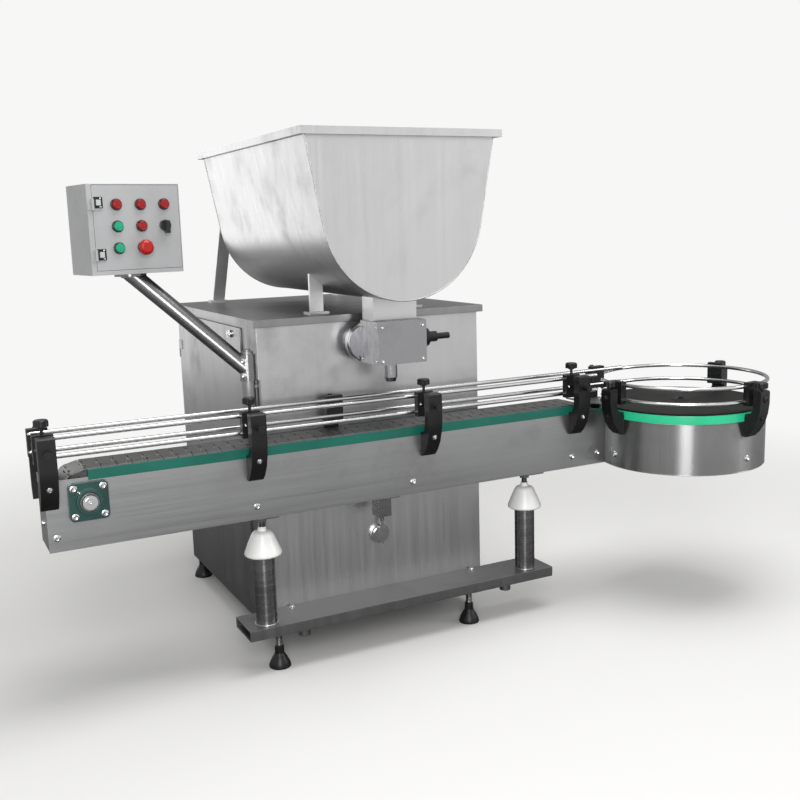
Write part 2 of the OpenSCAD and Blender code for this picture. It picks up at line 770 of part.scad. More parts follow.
module guide_brackets() color(dark) at_origin() {
    for (x = front_bracket_x) translate([x, 0, 0]) difference() {
        arch_arm(0, bracket_top);
        bar_y(spindle_r + fit, -arch_out - 1, 1, 0, spindle_z);
    }
    for (x = rear_bracket_x) translate([x, conv_w, 0]) mirror([0, 1, 0]) difference() {
        flat_arm();
        bar_y(spindle_r + fit, -flat_out - 1, 1, 0, spindle_z);
        bar_z(knob_stud_r + 0.1, spindle_z, flat_top + 1, 0, -(flat_in + flat_out) / 2);
    }
}

// Knob on its stud, which starts at z = 0; the grip starts at z0
module knob(z0) {
    cylinder(r = knob_stud_r, h = z0 + 4);
    translate([0, 0, z0]) difference() {
        union() {
            cylinder(r1 = 8, r2 = 9, h = 4);
            translate([0, 0, 4]) cylinder(r = knob_r, h = knob_h - 7);
            translate([0, 0, knob_h - 3]) cylinder(r1 = knob_r, r2 = knob_r - 3, h = 3);
        }
        for (i = [0:5]) rotate([0, 0, i * 60]) translate([knob_r + 3, 0, 3]) cylinder(r = 6, h = knob_h);
    }
}

module guide_knobs() color(dark) at_origin() {
    seat = spindle_z + spindle_r + 0.2;
    for (x = rear_bracket_x) translate([x, conv_w + (flat_in + flat_out) / 2, seat]) {
        cylinder(r = knob_stud_r, h = flat_top - seat + 6);
        translate([0, 0, flat_top - seat + 4]) cylinder(r = small_knob_r, h = 17);
        translate([0, 0, flat_top - seat + 21]) cylinder(r1 = small_knob_r, r2 = small_knob_r - 2, h = 2);
    }
    for (a = ring_bracket_a) translate([table_x, table_y, ring_arm_top - 20]) rotate([0, 0, a])
        translate([ring_knob_at, 0, 0]) rotate([0, 0, 30]) knob(24);
}

module guide_rods(y, x1) for (z = rod_z) bar_x(rod_r, -rod_out, x1, y, z);

// Block that holds the two rods (axes at y = 0), its spindle pointing to -y
module guide_clip(tail) {
    difference() {
        block([-clip_w / 2, clip_lip - clip_t, clip_z[0]], [clip_w / 2, clip_lip, clip_z[1]]);
        for (z = rod_z) bar_x(rod_r + 0.02, -clip_w, clip_w, 0, z);
    }
    bar_y(spindle_r, -tail, clip_lip - clip_t, 0, spindle_z);
}

module front_guide_rods() color(bright) at_origin() guide_rods(rod_in, front_end - 22);

module front_guide_clips() color(dark) at_origin() for (x = front_bracket_x) translate([x, rod_in, 0]) {
    guide_clip(rod_in + arch_out + spindle_out);
    bar_y(9, -rod_in - arch_out - spindle_out - 6, -rod_in - arch_out - spindle_out, 0, spindle_z);
    translate([0, clip_lip - clip_t / 2, clip_z[1]]) knob(knob_lift);
}

module rear_guide_rods() color(bright) at_origin() guide_rods(conv_w - rod_in, rear_end + 70);

module rear_guide_clips() color(dark) at_origin() for (x = rear_bracket_x)
    translate([x, conv_w - rod_in, 0]) mirror([0, 1, 0]) guide_clip(rod_in + flat_out - 3);

// Turntable
module table_drum() color(steel) at_origin() translate([table_x, table_y, conv_z]) difference() {
    cylinder(r = table_r, h = rim_z - conv_z, $fn = 96);
    translate([0, 0, table_wall]) cylinder(r = table_r - table_wall, h = conv_h, $fn = 96);
}

module table_rim() color(green) at_origin() translate([table_x, table_y, rim_z]) difference() {
    cylinder(r = table_r, h = rim_h, $fn = 96);
    translate([0, 0, -1]) cylinder(r = table_r - rim_w, h = rim_h + 2, $fn = 96);
}

module table_disc() color(dark) at_origin() translate([table_x, table_y, disc_z]) {
    difference() {
        union() {
            cylinder(r = disc_r, h = disc_t, $fn = 96);
            translate([0, 0, -14]) cylinder(r = 55, h = 15);
        }
        translate([0, 0, -15]) cylinder(r = table_shaft_r + 0.01, h = 13 + disc_t);
    }
}

module table_shaft() color(bright) at_origin()
    bar_z(table_shaft_r, conv_z + 20, disc_z - 3, table_x, table_y);

module table_drive() color("slategray") at_origin() translate([table_x, table_y, conv_z + table_wall]) {
    // Gearbox that holds the table's shaft, with its motor beside it
    difference() {
        union() {
            translate([-60, -60, 0]) cube([120, 120, 70]);
            cylinder(r = 45, h = 120);
        }
        translate([0, 0, 10]) cylinder(r = table_shaft_r + fit, h = 130);
    }
    bar_x(42, 60, 200, 0, 42);
}

module guide_rings() color(bright) at_origin() for (z = [ring_low, ring_low + ring_gap])
    translate([table_x, table_y, z]) rotate([0, 0, ring_a0])
        rotate_extrude(angle = ring_a1 - ring_a0) translate([table_r, 0]) circle(r = rod_r, $fn = 24);

module ring_brackets() color(dark) at_origin() translate([table_x, table_y, 0]) difference() {
    for (a = ring_bracket_a) rotate([0, 0, a]) {
        difference() {
            translate([table_r, 0, 0]) rotate([0, 0, 90]) arch_arm(2, ring_arm_top);
            translate([ring_knob_at, 0, ring_arm_top - 20.2])
                cylinder(r = knob_stud_r + 0.1, h = 30);
        }
        // Block that holds both rings, with its spindle to the arm
        block([table_r - clip_lip, -clip_w / 2, ring_low - rod_r - 6],
            [table_r + clip_t - clip_lip, clip_w / 2, ring_low + ring_gap + rod_r + 6]);
        bar_x(spindle_r, table_r + 2, ring_bracket_out - 1, 0, ring_low + 10);
    }
    translate([0, 0, conv_z]) cylinder(r = table_r, h = rim_top - conv_z + 2, $fn = 96);
    for (z = [ring_low, ring_low + ring_gap]) translate([0, 0, z])
        rotate_extrude() translate([table_r, 0]) circle(r = rod_r + 0.02, $fn = 24);
}

// Hopper: the solid inside an offset of its walls
module hopper_solid(inset, z_top) {
    r = hop_r - inset;
    y0 = hop_y + inset;
    y1 = hop_y1 - inset;
    intersection() {
        bar_y(r, y0, y1, hop_x, hop_cz);
        block([hop_x - r - 1, y0 - 1, hop_z - 1], [hop_x + r + 1, y1 + 1, hop_cz]);
    }
    // The slopes cut into the round bottom by hop_bite, so that no faces only touch there
    join_z = hop_cz - (r - hop_bite) * sin(hop_slope);
    join_x = (r - hop_bite) * cos(hop_slope);
    top_x = side_at(r - hop_bite, z_top);
    translate([hop_x, y1, 0]) rotate([90, 0, 0]) linear_extrude(height = y1 - y0) polygon([
        [-join_x, join_z], [join_x, join_z], [top_x, z_top], [-top_x, z_top]
    ]);
}

module hopper() color(steel) at_origin() difference() {
    union() {
        hopper_solid(0, hop_edge);
        rim_x = side_at(hop_r, hop_edge) + hop_rim_w;
        block([hop_x - rim_x, hop_y - hop_rim_w, hop_edge], [hop_x + rim_x, hop_y1 + hop_rim_w, hop_top]);
    }
    hopper_solid(hop_wall, hop_top + 1);
    bar_z(outlet_r, hop_z - 1, hop_z + 20, hop_x, outlet_y);
}

// Flat leg from its foot p on the lid to its head q, leaning both ways
module flat_leg(p, q) {
    d = q - p;
    tip = -asin(d[1] / norm(d));
    lean = asin(d[0] / (norm(d) * cos(tip)));
    difference() {
        translate(p) rotate([tip, lean, 0])
            translate([-leg_w / 2, -leg_t / 2, -20]) cube([leg_w, leg_t, norm(d) + 20]);
        translate([p[0] - 100, p[1] - 100, p[2] - 60]) cube([200, 200, 60]);
    }
    translate([p[0] - leg_w / 2 - 10, p[1] - 24, p[2]]) cube([leg_w + 20, 48, leg_foot_t]);
}

module hopper_legs() color(steel) at_origin() difference() {
    for (s = [-1, 1]) {
        flat_leg([hop_x + s * leg_rear, hop_y1 + 88, cab_top], [hop_x + s * (leg_rear - 19), hop_y1 + 8, hop_cz - 6]);
        flat_leg([hop_x + s * leg_front, leg_front_y, cab_top], [hop_x + s * leg_front, leg_front_y, hop_cz - 100]);
        // Tab on the hopper's rear wall
        translate([hop_x + s * (leg_rear - 19) - leg_w / 2, hop_y1, hop_cz - 46]) cube([leg_w, 12, 50]);
    }
    hopper_solid(0, hop_edge);
}

module hopper_neck() color(steel) at_origin() difference() {
    union() {
        block([hop_x - neck_w / 2, neck_y, block_top],
            [hop_x + neck_w / 2, neck_y + neck_d, hop_z + 20]);
    }
    hopper_solid(0, hop_edge);
    bar_z(outlet_r, block_top - 1, hop_z + 20, hop_x, outlet_y);
}

// Filling valve
module valve_block() color(bright) at_origin() difference() {
    union() {
        block([hop_x - block_w / 2, block_y0, block_z], [hop_x + block_w / 2, block_y1, block_top]);
        // Plate that the product cylinder is clamped to
        block([cyl_x - cyl_d / 2 - 10, block_y1, block_z + 8],
            [hop_x + block_w / 2, flange_y, block_top - 10]);
    }
    bar_x(plug_r + fit, hop_x - block_w / 2 - 1, hop_x + block_w / 2 + 1, plug_y, plug_z);
    bar_z(outlet_r, plug_z, block_top + 1, hop_x, outlet_y);
    bar_z(nozzle_bore / 2 - 2, block_z - 1, plug_z, hop_x, nozzle_y);
    bar_y(20, plug_y, flange_y + 1, cyl_x + 16, cyl_z);
}

module valve_plug() color("silver") at_origin() difference() {
    bar_x(plug_r, hop_x - block_w / 2, hop_x + block_w / 2, plug_y, plug_z);
    // Pocket that joins two neighbouring ports
    translate([hop_x, plug_y, plug_z]) block([-64, 4, -12], [32, plug_r + 1, plug_r + 1]);
}

module valve_handle() color(dark) at_origin() {
    x = hop_x + block_w / 2;
    bar_x(plug_r - 8, x, x + 4, plug_y, plug_z);
    bar_x(26, x + 4, x + 42, plug_y, plug_z);
    bar_x(15, x + 42, x + 72, plug_y, plug_z);
    bar_x(9, x + 72, x + 114, plug_y, plug_z);
    block([x + 12, plug_y - 7, plug_z + 20], [x + 32, plug_y + 7, plug_z + 46]);
}

module filling_nozzle() color(bright) at_origin() translate([hop_x, nozzle_y, block_z]) rotate([180, 0, 0])
    rotate_extrude() polygon([
        [nozzle_bore / 2, 0], [nozzle_d / 2 + 7, 0], [nozzle_d / 2 + 7, 8], [nozzle_d / 2, 10],
        [nozzle_d / 2, nozzle_len - 12], [nozzle_bore / 2 + 2, nozzle_len], [nozzle_bore / 2, nozzle_len]
    ]);

module product_cylinder() color(bright) at_origin() difference() {
    union() {
        bar_y(cyl_d / 2, cyl_y0, cyl_y0 + cyl_len, cyl_x, cyl_z);
        bar_y(ferrule_r, cyl_y0, cyl_y0 + 4, cyl_x, cyl_z);
    }
    bar_y(cyl_bore / 2, cyl_y0 - 1, cyl_y0 + cyl_len + 1, cyl_x, cyl_z);
}

module tube_clamp() color(bright) at_origin() translate([cyl_x, flange_y, cyl_z]) rotate([-90, 0, 0]) {
    difference() {
        cylinder(r = clamp_r + 5, h = 15);
        translate([0, 0, -1]) cylinder(r = ferrule_r + 0.1, h = 7);
        translate([0, 0, 3]) cylinder(r = cyl_d / 2 + 0.3, h = 13);
    }
    // Ears, bolt and wing nut at the lower front side
    rotate([0, 0, 215]) {
        for (s = [-1, 1]) translate([-clamp_r - 16, s * 6 - 3, 1]) cube([14, 6, 13]);
        translate([-clamp_r - 11, 0, 7.5]) rotate([90, 0, 0]) cylinder(r = 3.5, h = 44, center = true);
        translate([-clamp_r - 11, 16, 7.5]) rotate([90, 0, 0]) cylinder(r = 7, h = 10, center = true, $fn = 6);
        for (s = [-1, 1]) translate([-clamp_r - 11 + s * 9 - 5, 13, 5.5]) cube([10, 12, 4]);
    }
}

module product_piston() color("silver") at_origin() {
    bar_y(cyl_bore / 2 - fit, piston_y, piston_y + piston_t, cyl_x, cyl_z);
    bar_y(piston_rod_d / 2, piston_y + piston_t, air_y + air_cap_t + 2, cyl_x, cyl_z);
    bar_y(air_bore - fit, air_y + air_cap_t + 2, air_y + air_cap_t + 2 + air_piston_t, cyl_x, cyl_z);
}

module air_cylinder() color("silver") at_origin() difference() {
    union() {
        half = air_cap / 2;
        bar_y(air_r, air_y, air_y + 2 * air_cap_t + air_len, cyl_x, cyl_z);
        for (y = [air_y, air_y + air_cap_t + air_len])
            block([cyl_x - half, y, cyl_z - half], [cyl_x + half, y + air_cap_t, cyl_z + half]);
    }
    bar_y(air_bore, air_y + air_cap_t, air_y + air_cap_t + air_len, cyl_x, cyl_z);
    bar_y(piston_rod_d / 2 + fit, air_y - 1, air_y + air_cap_t + 1, cyl_x, cyl_z);
}

// Control box and its arm
module arm_post() color(steel) at_origin() {
    bar_z(arm_post_r, arm_post_z, arm_seat_z, arm_x, arm_y);
    bar_z(arm_pin_r, arm_seat_z, arm_seat_z + sleeve_h + 14, arm_x, arm_y);
    for (z = [arm_post_z + 12, arm_seat_z - 20]) difference() {
        block([arm_x, arm_y - 14, z], [cab_x, arm_y + 14, z + 8]);
        bar_z(arm_post_r, z - 1, z + 9, arm_x, arm_y);
    }
    block([cab_x - 5, arm_y - 22, arm_post_z], [cab_x, arm_y + 22, arm_seat_z]);
    bar_z(arm_ring_r, arm_seat_z + sleeve_h + 2 * gap, arm_seat_z + sleeve_h + 8, arm_x, arm_y);
}

module swing_arm() color(steel) at_origin() translate([arm_x, arm_y, 0]) {
    rise = box_z - arm_tube_z;
    difference() {
        union() {
            translate([0, 0, arm_seat_z + gap]) cylinder(r = sleeve_r, h = sleeve_h);
            rotate([0, 0, arm_turn]) intersection() {
                translate([0, 0, arm_tube_z]) rotate([0, atan2(arm_reach, rise), 0])
                    cylinder(r = arm_d / 2, h = norm([arm_reach, rise]) + 40);
                block([0, -50, arm_seat_z - 40], [arm_reach + 60, 50, box_z - 6]);
            }
            // Mounting flange under the box
            rotate([0, 0, arm_turn]) translate([arm_reach, 0, box_z - 8]) cylinder(r = 42, h = 8);
        }
        bar_z(arm_pin_r + fit, arm_seat_z - 40, arm_seat_z + sleeve_h + 40, 0, 0);
        // Room for the ring on top of the pin
        bar_z(arm_ring_r + 1, arm_seat_z + sleeve_h + gap, arm_seat_z + sleeve_h + 40, 0, 0);
    }
}

module control_box() color([0.75, 0.76, 0.77]) at_origin() box_frame_of() {
    difference() {
        block([box_u0, 0, box_z], [box_u1, box_d, box_top]);
        block([box_u0 + box_wall, box_wall, box_z + box_wall],
            [box_u1 - box_wall, box_d - box_wall, box_top - box_wall]);
        block([-door_gap, -1, boxdoor_z - door_gap],
            [boxdoor_w + door_gap, box_wall + 1, boxdoor_z + boxdoor_h + door_gap]);
    }
    // Fixed halves of the door hinges, with their pins
    for (z = boxhinge_z) translate([0, 0, boxdoor_z + z]) {
        bar_z(boxhinge_r, 0, boxhinge_len / 2 - gap, -1, boxhinge_v);
        bar_z(1.5, 0, boxhinge_len, -1, boxhinge_v);
        block([-13, -2, 0], [-1, 0, boxhinge_len / 2 - gap]);
    }
    // Mounting plate inside
    block([box_u0 + 20, box_d - box_wall - 8, box_z + 20], [box_u1 - 20, box_d - box_wall, box_top - 20]);
}

module box_door() color([0.78, 0.79, 0.80]) at_origin() box_frame_of() {
    difference() {
        block([0, 0, boxdoor_z], [boxdoor_w, boxdoor_t, boxdoor_z + boxdoor_h]);
        block([box_wall, box_wall, boxdoor_z + box_wall],
            [boxdoor_w - box_wall, boxdoor_t + 1, boxdoor_z + boxdoor_h - box_wall]);
        for (i = [0:2], j = [0:2]) if (!(i == 2 && j == 0))
            translate([button_u + i * button_dx, -1, boxdoor_z + button_w + j * button_dz])
                rotate([-90, 0, 0]) cylinder(r = barrel_r + 0.1, h = 2 * boxdoor_t);
    }
    for (z = boxhinge_z) translate([0, 0, boxdoor_z + z]) difference() {
        union() {
            bar_z(boxhinge_r, boxhinge_len / 2, boxhinge_len, -1, boxhinge_v);
            block([0, boxhinge_v, boxhinge_len / 2], [boxhinge_r - 1, -1, boxhinge_len]);
            block([0, -2, boxhinge_len / 2], [22, 0, boxhinge_len]);
            block([boxhinge_r - 0.8, -2, 0], [22, 0, boxhinge_len / 2 + 1]);
        }
        bar_z(1.5 + fit, -1, boxhinge_len + 1, -1, boxhinge_v);
    }
}

// Bezel and barrel of a push button, with z into the door
module bezel(r) {
    rotate_extrude() polygon([
        [button_r + fit, -bezel_floor], [cap_r + 0.5, -bezel_floor], [cap_r + 0.5, -bezel_t],
        [r - 1, -bezel_t], [r, -bezel_t + 1], [r, 0], [barrel_r, 0], [barrel_r, 26], [button_r + fit, 26]
    ]);
}

module button_bezels() color("darkgray") at_origin() {
    for (i = [0:2], j = [0:2]) if (!(i == 2 && j == 0)) button_at(i, j) bezel(bezel_d / 2);
}

// Push button: cap in the collar of its bezel, stem in the barrel
module button() {
    under = bezel_floor + gap + button_travel;
    translate([0, 0, -bezel_t - cap_out]) cylinder(r1 = cap_r - 1, r2 = cap_r, h = 1);
    translate([0, 0, 1 - bezel_t - cap_out]) cylinder(r = cap_r, h = bezel_t + cap_out - under - 1);
    translate([0, 0, -under - 0.5]) cylinder(r = button_r, h = 18);
}

module red_button_1() color("red") at_origin() button_at(0, 2) button();
module red_button_2() color("red") at_origin() button_at(1, 2) button();
module red_button_3() color("red") at_origin() button_at(2, 2) button();
module red_button_4() color("red") at_origin() button_at(1, 1) button();
module green_button_1() color("limegreen") at_origin() button_at(0, 1) button();
module green_button_2() color("limegreen") at_origin() button_at(0, 0) button();

module selector_knob() color(dark) at_origin() button_at(2, 1) {
    translate([0, 0, -bezel_t - gap - 4]) cylinder(r = bezel_d / 2 - 1, h = 4);
    translate([-5, -12, -bezel_t - 18]) cube([10, 32, 16]);
    translate([0, 0, -bezel_t - 2]) cylinder(r = button_r, h = 24);
}

module stop_button() color("red") at_origin() button_at(1, 0) {
    translate([0, 0, -bezel_t - 26]) rotate_extrude() polygon([
        [0, 0], [stop_d / 2 - 8, 0], [stop_d / 2 - 3, 3], [stop_d / 2, 8], [stop_d / 2, 12],
        [stop_d / 2 - 8, 17], [button_r, 19], [button_r, 44], [0, 44]
    ]);
}

cabinet_shell();
front_panel();
cabinet_lid();
service_door();
door_lock();
panel_latch();
levelling_feet();
base_rail();
posts();
post_caps();
height_screws();
front_side_plate();
rear_side_plate();
cross_members();
frame_bolts();
wear_strips();
slat_chain();
drive_shaft();
drive_sprockets();
idler_sprockets();
shaft_bearings();
gearmotor();
transfer_plate();
guide_brackets();
guide_knobs();
front_guide_rods();
front_guide_clips();
rear_guide_rods();
rear_guide_clips();
table_drum();
table_rim();
table_disc();
table_shaft();
table_drive();
guide_rings();
ring_brackets();
hopper();
hopper_legs();
hopper_neck();
valve_block();
valve_plug();
valve_handle();
filling_nozzle();
product_cylinder();
tube_clamp();
product_piston();
air_cylinder();
arm_post();
swing_arm();
control_box();
box_door();
button_bezels();
red_button_1();
red_button_2();
red_button_3();
red_button_4();
green_button_1();
green_button_2();
selector_knob();
stop_button();
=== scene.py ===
import json
import math

import bmesh
import bpy
from mathutils import Matrix, Vector


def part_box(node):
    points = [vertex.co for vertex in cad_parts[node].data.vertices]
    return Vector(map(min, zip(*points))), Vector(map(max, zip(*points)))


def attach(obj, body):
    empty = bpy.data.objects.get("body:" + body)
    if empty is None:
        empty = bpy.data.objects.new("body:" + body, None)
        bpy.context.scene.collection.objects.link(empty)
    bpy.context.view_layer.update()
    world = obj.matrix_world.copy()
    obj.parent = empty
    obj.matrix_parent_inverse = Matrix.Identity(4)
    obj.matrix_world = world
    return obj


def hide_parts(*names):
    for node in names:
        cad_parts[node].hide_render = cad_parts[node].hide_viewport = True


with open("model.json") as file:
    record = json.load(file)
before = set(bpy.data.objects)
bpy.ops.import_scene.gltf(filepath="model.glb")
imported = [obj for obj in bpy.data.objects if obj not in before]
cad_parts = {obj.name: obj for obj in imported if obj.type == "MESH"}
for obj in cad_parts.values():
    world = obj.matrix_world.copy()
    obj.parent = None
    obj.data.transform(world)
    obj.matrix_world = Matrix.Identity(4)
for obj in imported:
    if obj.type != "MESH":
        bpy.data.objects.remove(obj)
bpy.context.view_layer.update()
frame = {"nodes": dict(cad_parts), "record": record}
cadNodes = frame["nodes"]
bodyOf = {node: body for body, names in frame["record"]["behaviour"]["bodies"].items() for node in names}
print("stage: frame loaded")

# Places are in millimetres from the conveyor's left end (x), its front plate (y) and the floor (z).
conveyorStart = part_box("front_side_plate")[0]


def at(x, y, z):
    return Vector((conveyorStart[0] + x / 1000, conveyorStart[1] + y / 1000, z / 1000))


def mm(value):
    return value / 1000


# Node helpers


def addNode(tree, kind, settings=None, inputs=None):
    node = tree.nodes.new("ShaderNode" + kind)
    for key, value in (settings or {}).items():
        setattr(node, key, value)
    for key, value in (inputs or {}).items():
        if isinstance(value, bpy.types.NodeSocket):
            tree.links.new(value, node.inputs[key])
        else:
            node.inputs[key].default_value = value
    return node


def times(tree, a, b, clamp=False):
    return addNode(tree, "Math", {"operation": "MULTIPLY", "use_clamp": clamp}, {0: a, 1: b}).outputs[0]


def plus(tree, a, b, clamp=False):
    return addNode(tree, "Math", {"operation": "ADD", "use_clamp": clamp}, {0: a, 1: b}).outputs[0]


def minus(tree, a, b):
    return addNode(tree, "Math", {"operation": "SUBTRACT"}, {0: a, 1: b}).outputs[0]


def spread(tree, value, low, high, fromLow=0.0, fromHigh=1.0, curve="LINEAR"):
    inputs = {"Value": value, "From Min": fromLow, "From Max": fromHigh, "To Min": low, "To Max": high}
    return addNode(tree, "MapRange", {"interpolation_type": curve}, inputs).outputs["Result"]


def noise(tree, place, scale, detail, **more):
    values = {"Vector": place, "Scale": scale, "Detail": detail, **more}
    return addNode(tree, "TexNoise", None, values).outputs[0]


def dotOf(tree, first, second):
    return addNode(tree, "VectorMath", {"operation": "DOT_PRODUCT"}, {0: first, 1: second}).outputs["Value"]


def mixColour(tree, factor, first, second):
    node = addNode(tree, "Mix", {"data_type": "RGBA"}, {0: factor})
    for index, colour in ((6, first), (7, second)):
        if isinstance(colour, bpy.types.NodeSocket):
            tree.links.new(colour, node.inputs[index])
        else:
            node.inputs[index].default_value = (*colour, 1.0)
    return node.outputs[2]


# Shader groups: effects that several finishes share


def startGroup(name, given, results):
    tree = bpy.data.node_groups.new(name, "ShaderNodeTree")
    for label, kind, value in [("Place", "Vector", None)] + given:
        socket = tree.interface.new_socket(name=label, in_out="INPUT", socket_type="NodeSocket" + kind)
        if value is not None:
            socket.default_value = value
    for label in results:
        tree.interface.new_socket(name=label, in_out="OUTPUT", socket_type="NodeSocketFloat")
    return tree, tree.nodes.new("NodeGroupInput").outputs, tree.nodes.new("NodeGroupOutput").inputs


def makeBrushLines():
    wanted = [("Stretch", "Vector", (5.0, 5.0, 600.0))]
    tree, given, result = startGroup("brushLines", wanted, ["Streak", "Height"])
    ends = {0: given["Place"], 1: given["Stretch"]}
    fineAt = addNode(tree, "VectorMath", {"operation": "MULTIPLY"}, ends).outputs[0]
    wideAt = addNode(tree, "VectorMath", {"operation": "SCALE"}, {0: fineAt, "Scale": 0.11}).outputs[0]
    fine = noise(tree, fineAt, 1.0, 3.0, Roughness=0.65)
    wide = noise(tree, wideAt, 1.0, 2.0)
    both = plus(tree, times(tree, fine, 0.6), times(tree, wide, 0.4))
    tree.links.new(spread(tree, both, 0.0, 1.0, 0.32, 0.68), result["Streak"])
    tree.links.new(fine, result["Height"])
    return tree


def makeHandling():
    tree, given, result = startGroup("handlingMarks", [("Size", "Float", 6.0)], ["Mask", "Cloud"])
    cloud = noise(tree, given["Place"], given["Size"], 5.0, Distortion=0.7)
    spots = noise(tree, given["Place"], times(tree, given["Size"], 7.0), 4.0)
    patch = spread(tree, cloud, 0.0, 1.0, 0.5, 0.72)
    marks = times(tree, patch, spread(tree, spots, 0.2, 1.0, 0.4, 0.65), True)
    tree.links.new(marks, result["Mask"])
    tree.links.new(cloud, result["Cloud"])
    return tree


def makeEdgeWear():
    wanted = [("Radius", "Float", 0.0015), ("Amount", "Float", 1.0)]
    tree, given, result = startGroup("edgeWear", wanted, ["Mask"])
    rounded = addNode(tree, "Bevel", {"samples": 4}, {"Radius": given["Radius"]}).outputs[0]
    alike = dotOf(tree, rounded, addNode(tree, "NewGeometry").outputs["Normal"])
    turn = spread(tree, minus(tree, 1.0, alike), 0.0, 1.0, 0.02, 0.16)
    chips = noise(tree, given["Place"], 90.0, 4.0)
    worn = times(tree, turn, spread(tree, chips, 0.25, 1.0, 0.38, 0.6))
    tree.links.new(times(tree, worn, given["Amount"], True), result["Mask"])
    return tree


def makeDust():
    tree, given, result = startGroup("settledDust", [("Amount", "Float", 0.3)], ["Mask"])
    normal = addNode(tree, "NewGeometry").outputs["Normal"]
    up = addNode(tree, "SeparateXYZ", None, {0: normal}).outputs["Z"]
    film = noise(tree, given["Place"], 14.0, 6.0, Roughness=0.6)
    lying = times(tree, spread(tree, up, 0.0, 1.0, 0.5, 1.0), spread(tree, film, 0.1, 1.0, 0.35, 0.7))
    tree.links.new(times(tree, lying, given["Amount"], True), result["Mask"])
    return tree


def makeGrain():
    tree, given, result = startGroup("mouldedGrain", [("Size", "Float", 500.0)], ["Height", "Patch"])
    tree.links.new(noise(tree, given["Place"], given["Size"], 3.0), result["Height"])
    tree.links.new(noise(tree, given["Place"], 9.0, 4.0), result["Patch"])
    return tree


brushLines = makeBrushLines()
handlingMarks = makeHandling()
edgeWear = makeEdgeWear()
settledDust = makeDust()
mouldedGrain = makeGrain()


def useGroup(tree, group, place, inputs):
    node = tree.nodes.new("ShaderNodeGroup")
    node.node_tree = group
    tree.links.new(place, node.inputs["Place"])
    for key, value in inputs.items():
        node.inputs[key].default_value = value
    return node.outputs


# Finishes
finishLook = {
    "smudge": (0.16, 0.155, 0.15), "steelDust": (0.30, 0.29, 0.27), "plasticDust": (0.34, 0.33, 0.31),
    "castDust": (0.22, 0.22, 0.20), "paintDust": (0.36, 0.35, 0.33), "oldDust": 0.25,
    "plasticMarks": 11.0, "castGrain": 160.0, "paintMarks": 8.0, "lensGrain": 900.0,
}


def startFinish(name):
    material = bpy.data.materials.new(name)
    material.use_nodes = True
    tree = material.node_tree
    return material, tree, tree.nodes["Principled BSDF"], addNode(tree, "TexCoord").outputs["Object"]


def feed(tree, shader, sockets, fixed=()):
    for key, socket in sockets.items():
        tree.links.new(socket, shader.inputs[key])
    for key, value in dict(fixed).items():
        shader.inputs[key].default_value = value


def relief(tree, height, depth):
    return addNode(tree, "Bump", None, {"Height": height, "Strength": 1.0, "Distance": depth}).outputs[0]


def shade(colour, share, lift=0.0):
    return tuple(min(1.0, c * share + lift) for c in colour)


# The look's two colours in patches, and its roughness varied by the same patches
def patchTone(tree, grain, look, low=0.35, high=0.65):
    patches = spread(tree, grain["Patch"], 0.0, 1.0, low, high)
    return mixColour(tree, patches, look["colour"], look["second"])


def patchRough(tree, grain, look, less, more):
    return spread(tree, grain["Patch"], look["rough"] - less, look["rough"] + more)


def steelFinish(name, look):
    material, tree, shader, place = startFinish(name)
    brush = useGroup(tree, brushLines, place, {"Stretch": look["stretch"]})
    marks = useGroup(tree, handlingMarks, place, {"Size": look["markSize"]})
    wear = {"Radius": look["edge"], "Amount": look.get("wear", 0.7)}
    edge = useGroup(tree, edgeWear, place, wear)["Mask"]
    dust = useGroup(tree, settledDust, place, {"Amount": look["dust"]})["Mask"]
    colour = look["colour"]
    contrast = look["contrast"]
    tone = mixColour(tree, brush["Streak"], shade(colour, 1 - contrast), shade(colour, 1 + contrast))
    cloud = spread(tree, marks["Cloud"], 0.0, look["cloud"], 0.4, 0.75)
    cloudy = mixColour(tree, cloud, tone, shade(colour, 0.62))
    marked = mixColour(tree, times(tree, marks["Mask"], 0.3), cloudy, finishLook["smudge"])
    worn = mixColour(tree, edge, marked, shade(colour, 1.5, 0.08))
    streaky = spread(tree, brush["Streak"], look["rough"] - 0.07, look["rough"] + 0.07)
    rough = plus(tree, streaky, times(tree, marks["Mask"], 0.12), True)
    feed(tree, shader, {
        "Base Color": mixColour(tree, dust, worn, finishLook["steelDust"]),
        "Roughness": plus(tree, rough, times(tree, dust, 0.3), True),
        "Metallic": minus(tree, 1.0, times(tree, dust, 0.7)),
        "Normal": relief(tree, brush["Height"], look["depth"]),
    })
    if "sheen" in look:
        # Rings left by turning stretch a highlight along the upright axis
        upright = addNode(tree, "CombineXYZ", None, {"Z": 1.0}).outputs["Vector"]
        feed(tree, shader, {"Tangent": upright}, {"Anisotropic": look["sheen"]})
    return material


def plasticFinish(name, look):
    material, tree, shader, place = startFinish(name)
    grain = useGroup(tree, mouldedGrain, place, {"Size": look["grain"]})
    edge = useGroup(tree, edgeWear, place, {"Radius": 0.0012, "Amount": look["edgeAmount"]})["Mask"]
    dust = useGroup(tree, settledDust, place, {"Amount": look["dust"]})["Mask"]
    marks = useGroup(tree, handlingMarks, place, {"Size": finishLook["plasticMarks"]})
    worn = mixColour(tree, edge, patchTone(tree, grain, look), look["edgeColour"])
    rough = plus(tree, patchRough(tree, grain, look, 0.06, 0.06), times(tree, marks["Mask"], 0.15), True)
    feed(tree, shader, {
        "Base Color": mixColour(tree, dust, worn, finishLook["plasticDust"]),
        "Roughness": rough,
        "Normal": relief(tree, grain["Height"], look["depth"]),
    }, {
        "Coat Roughness": 0.12, "Coat Weight": look["coat"],
        "Specular IOR Level": look.get("specular", 0.5),
    })
    return material


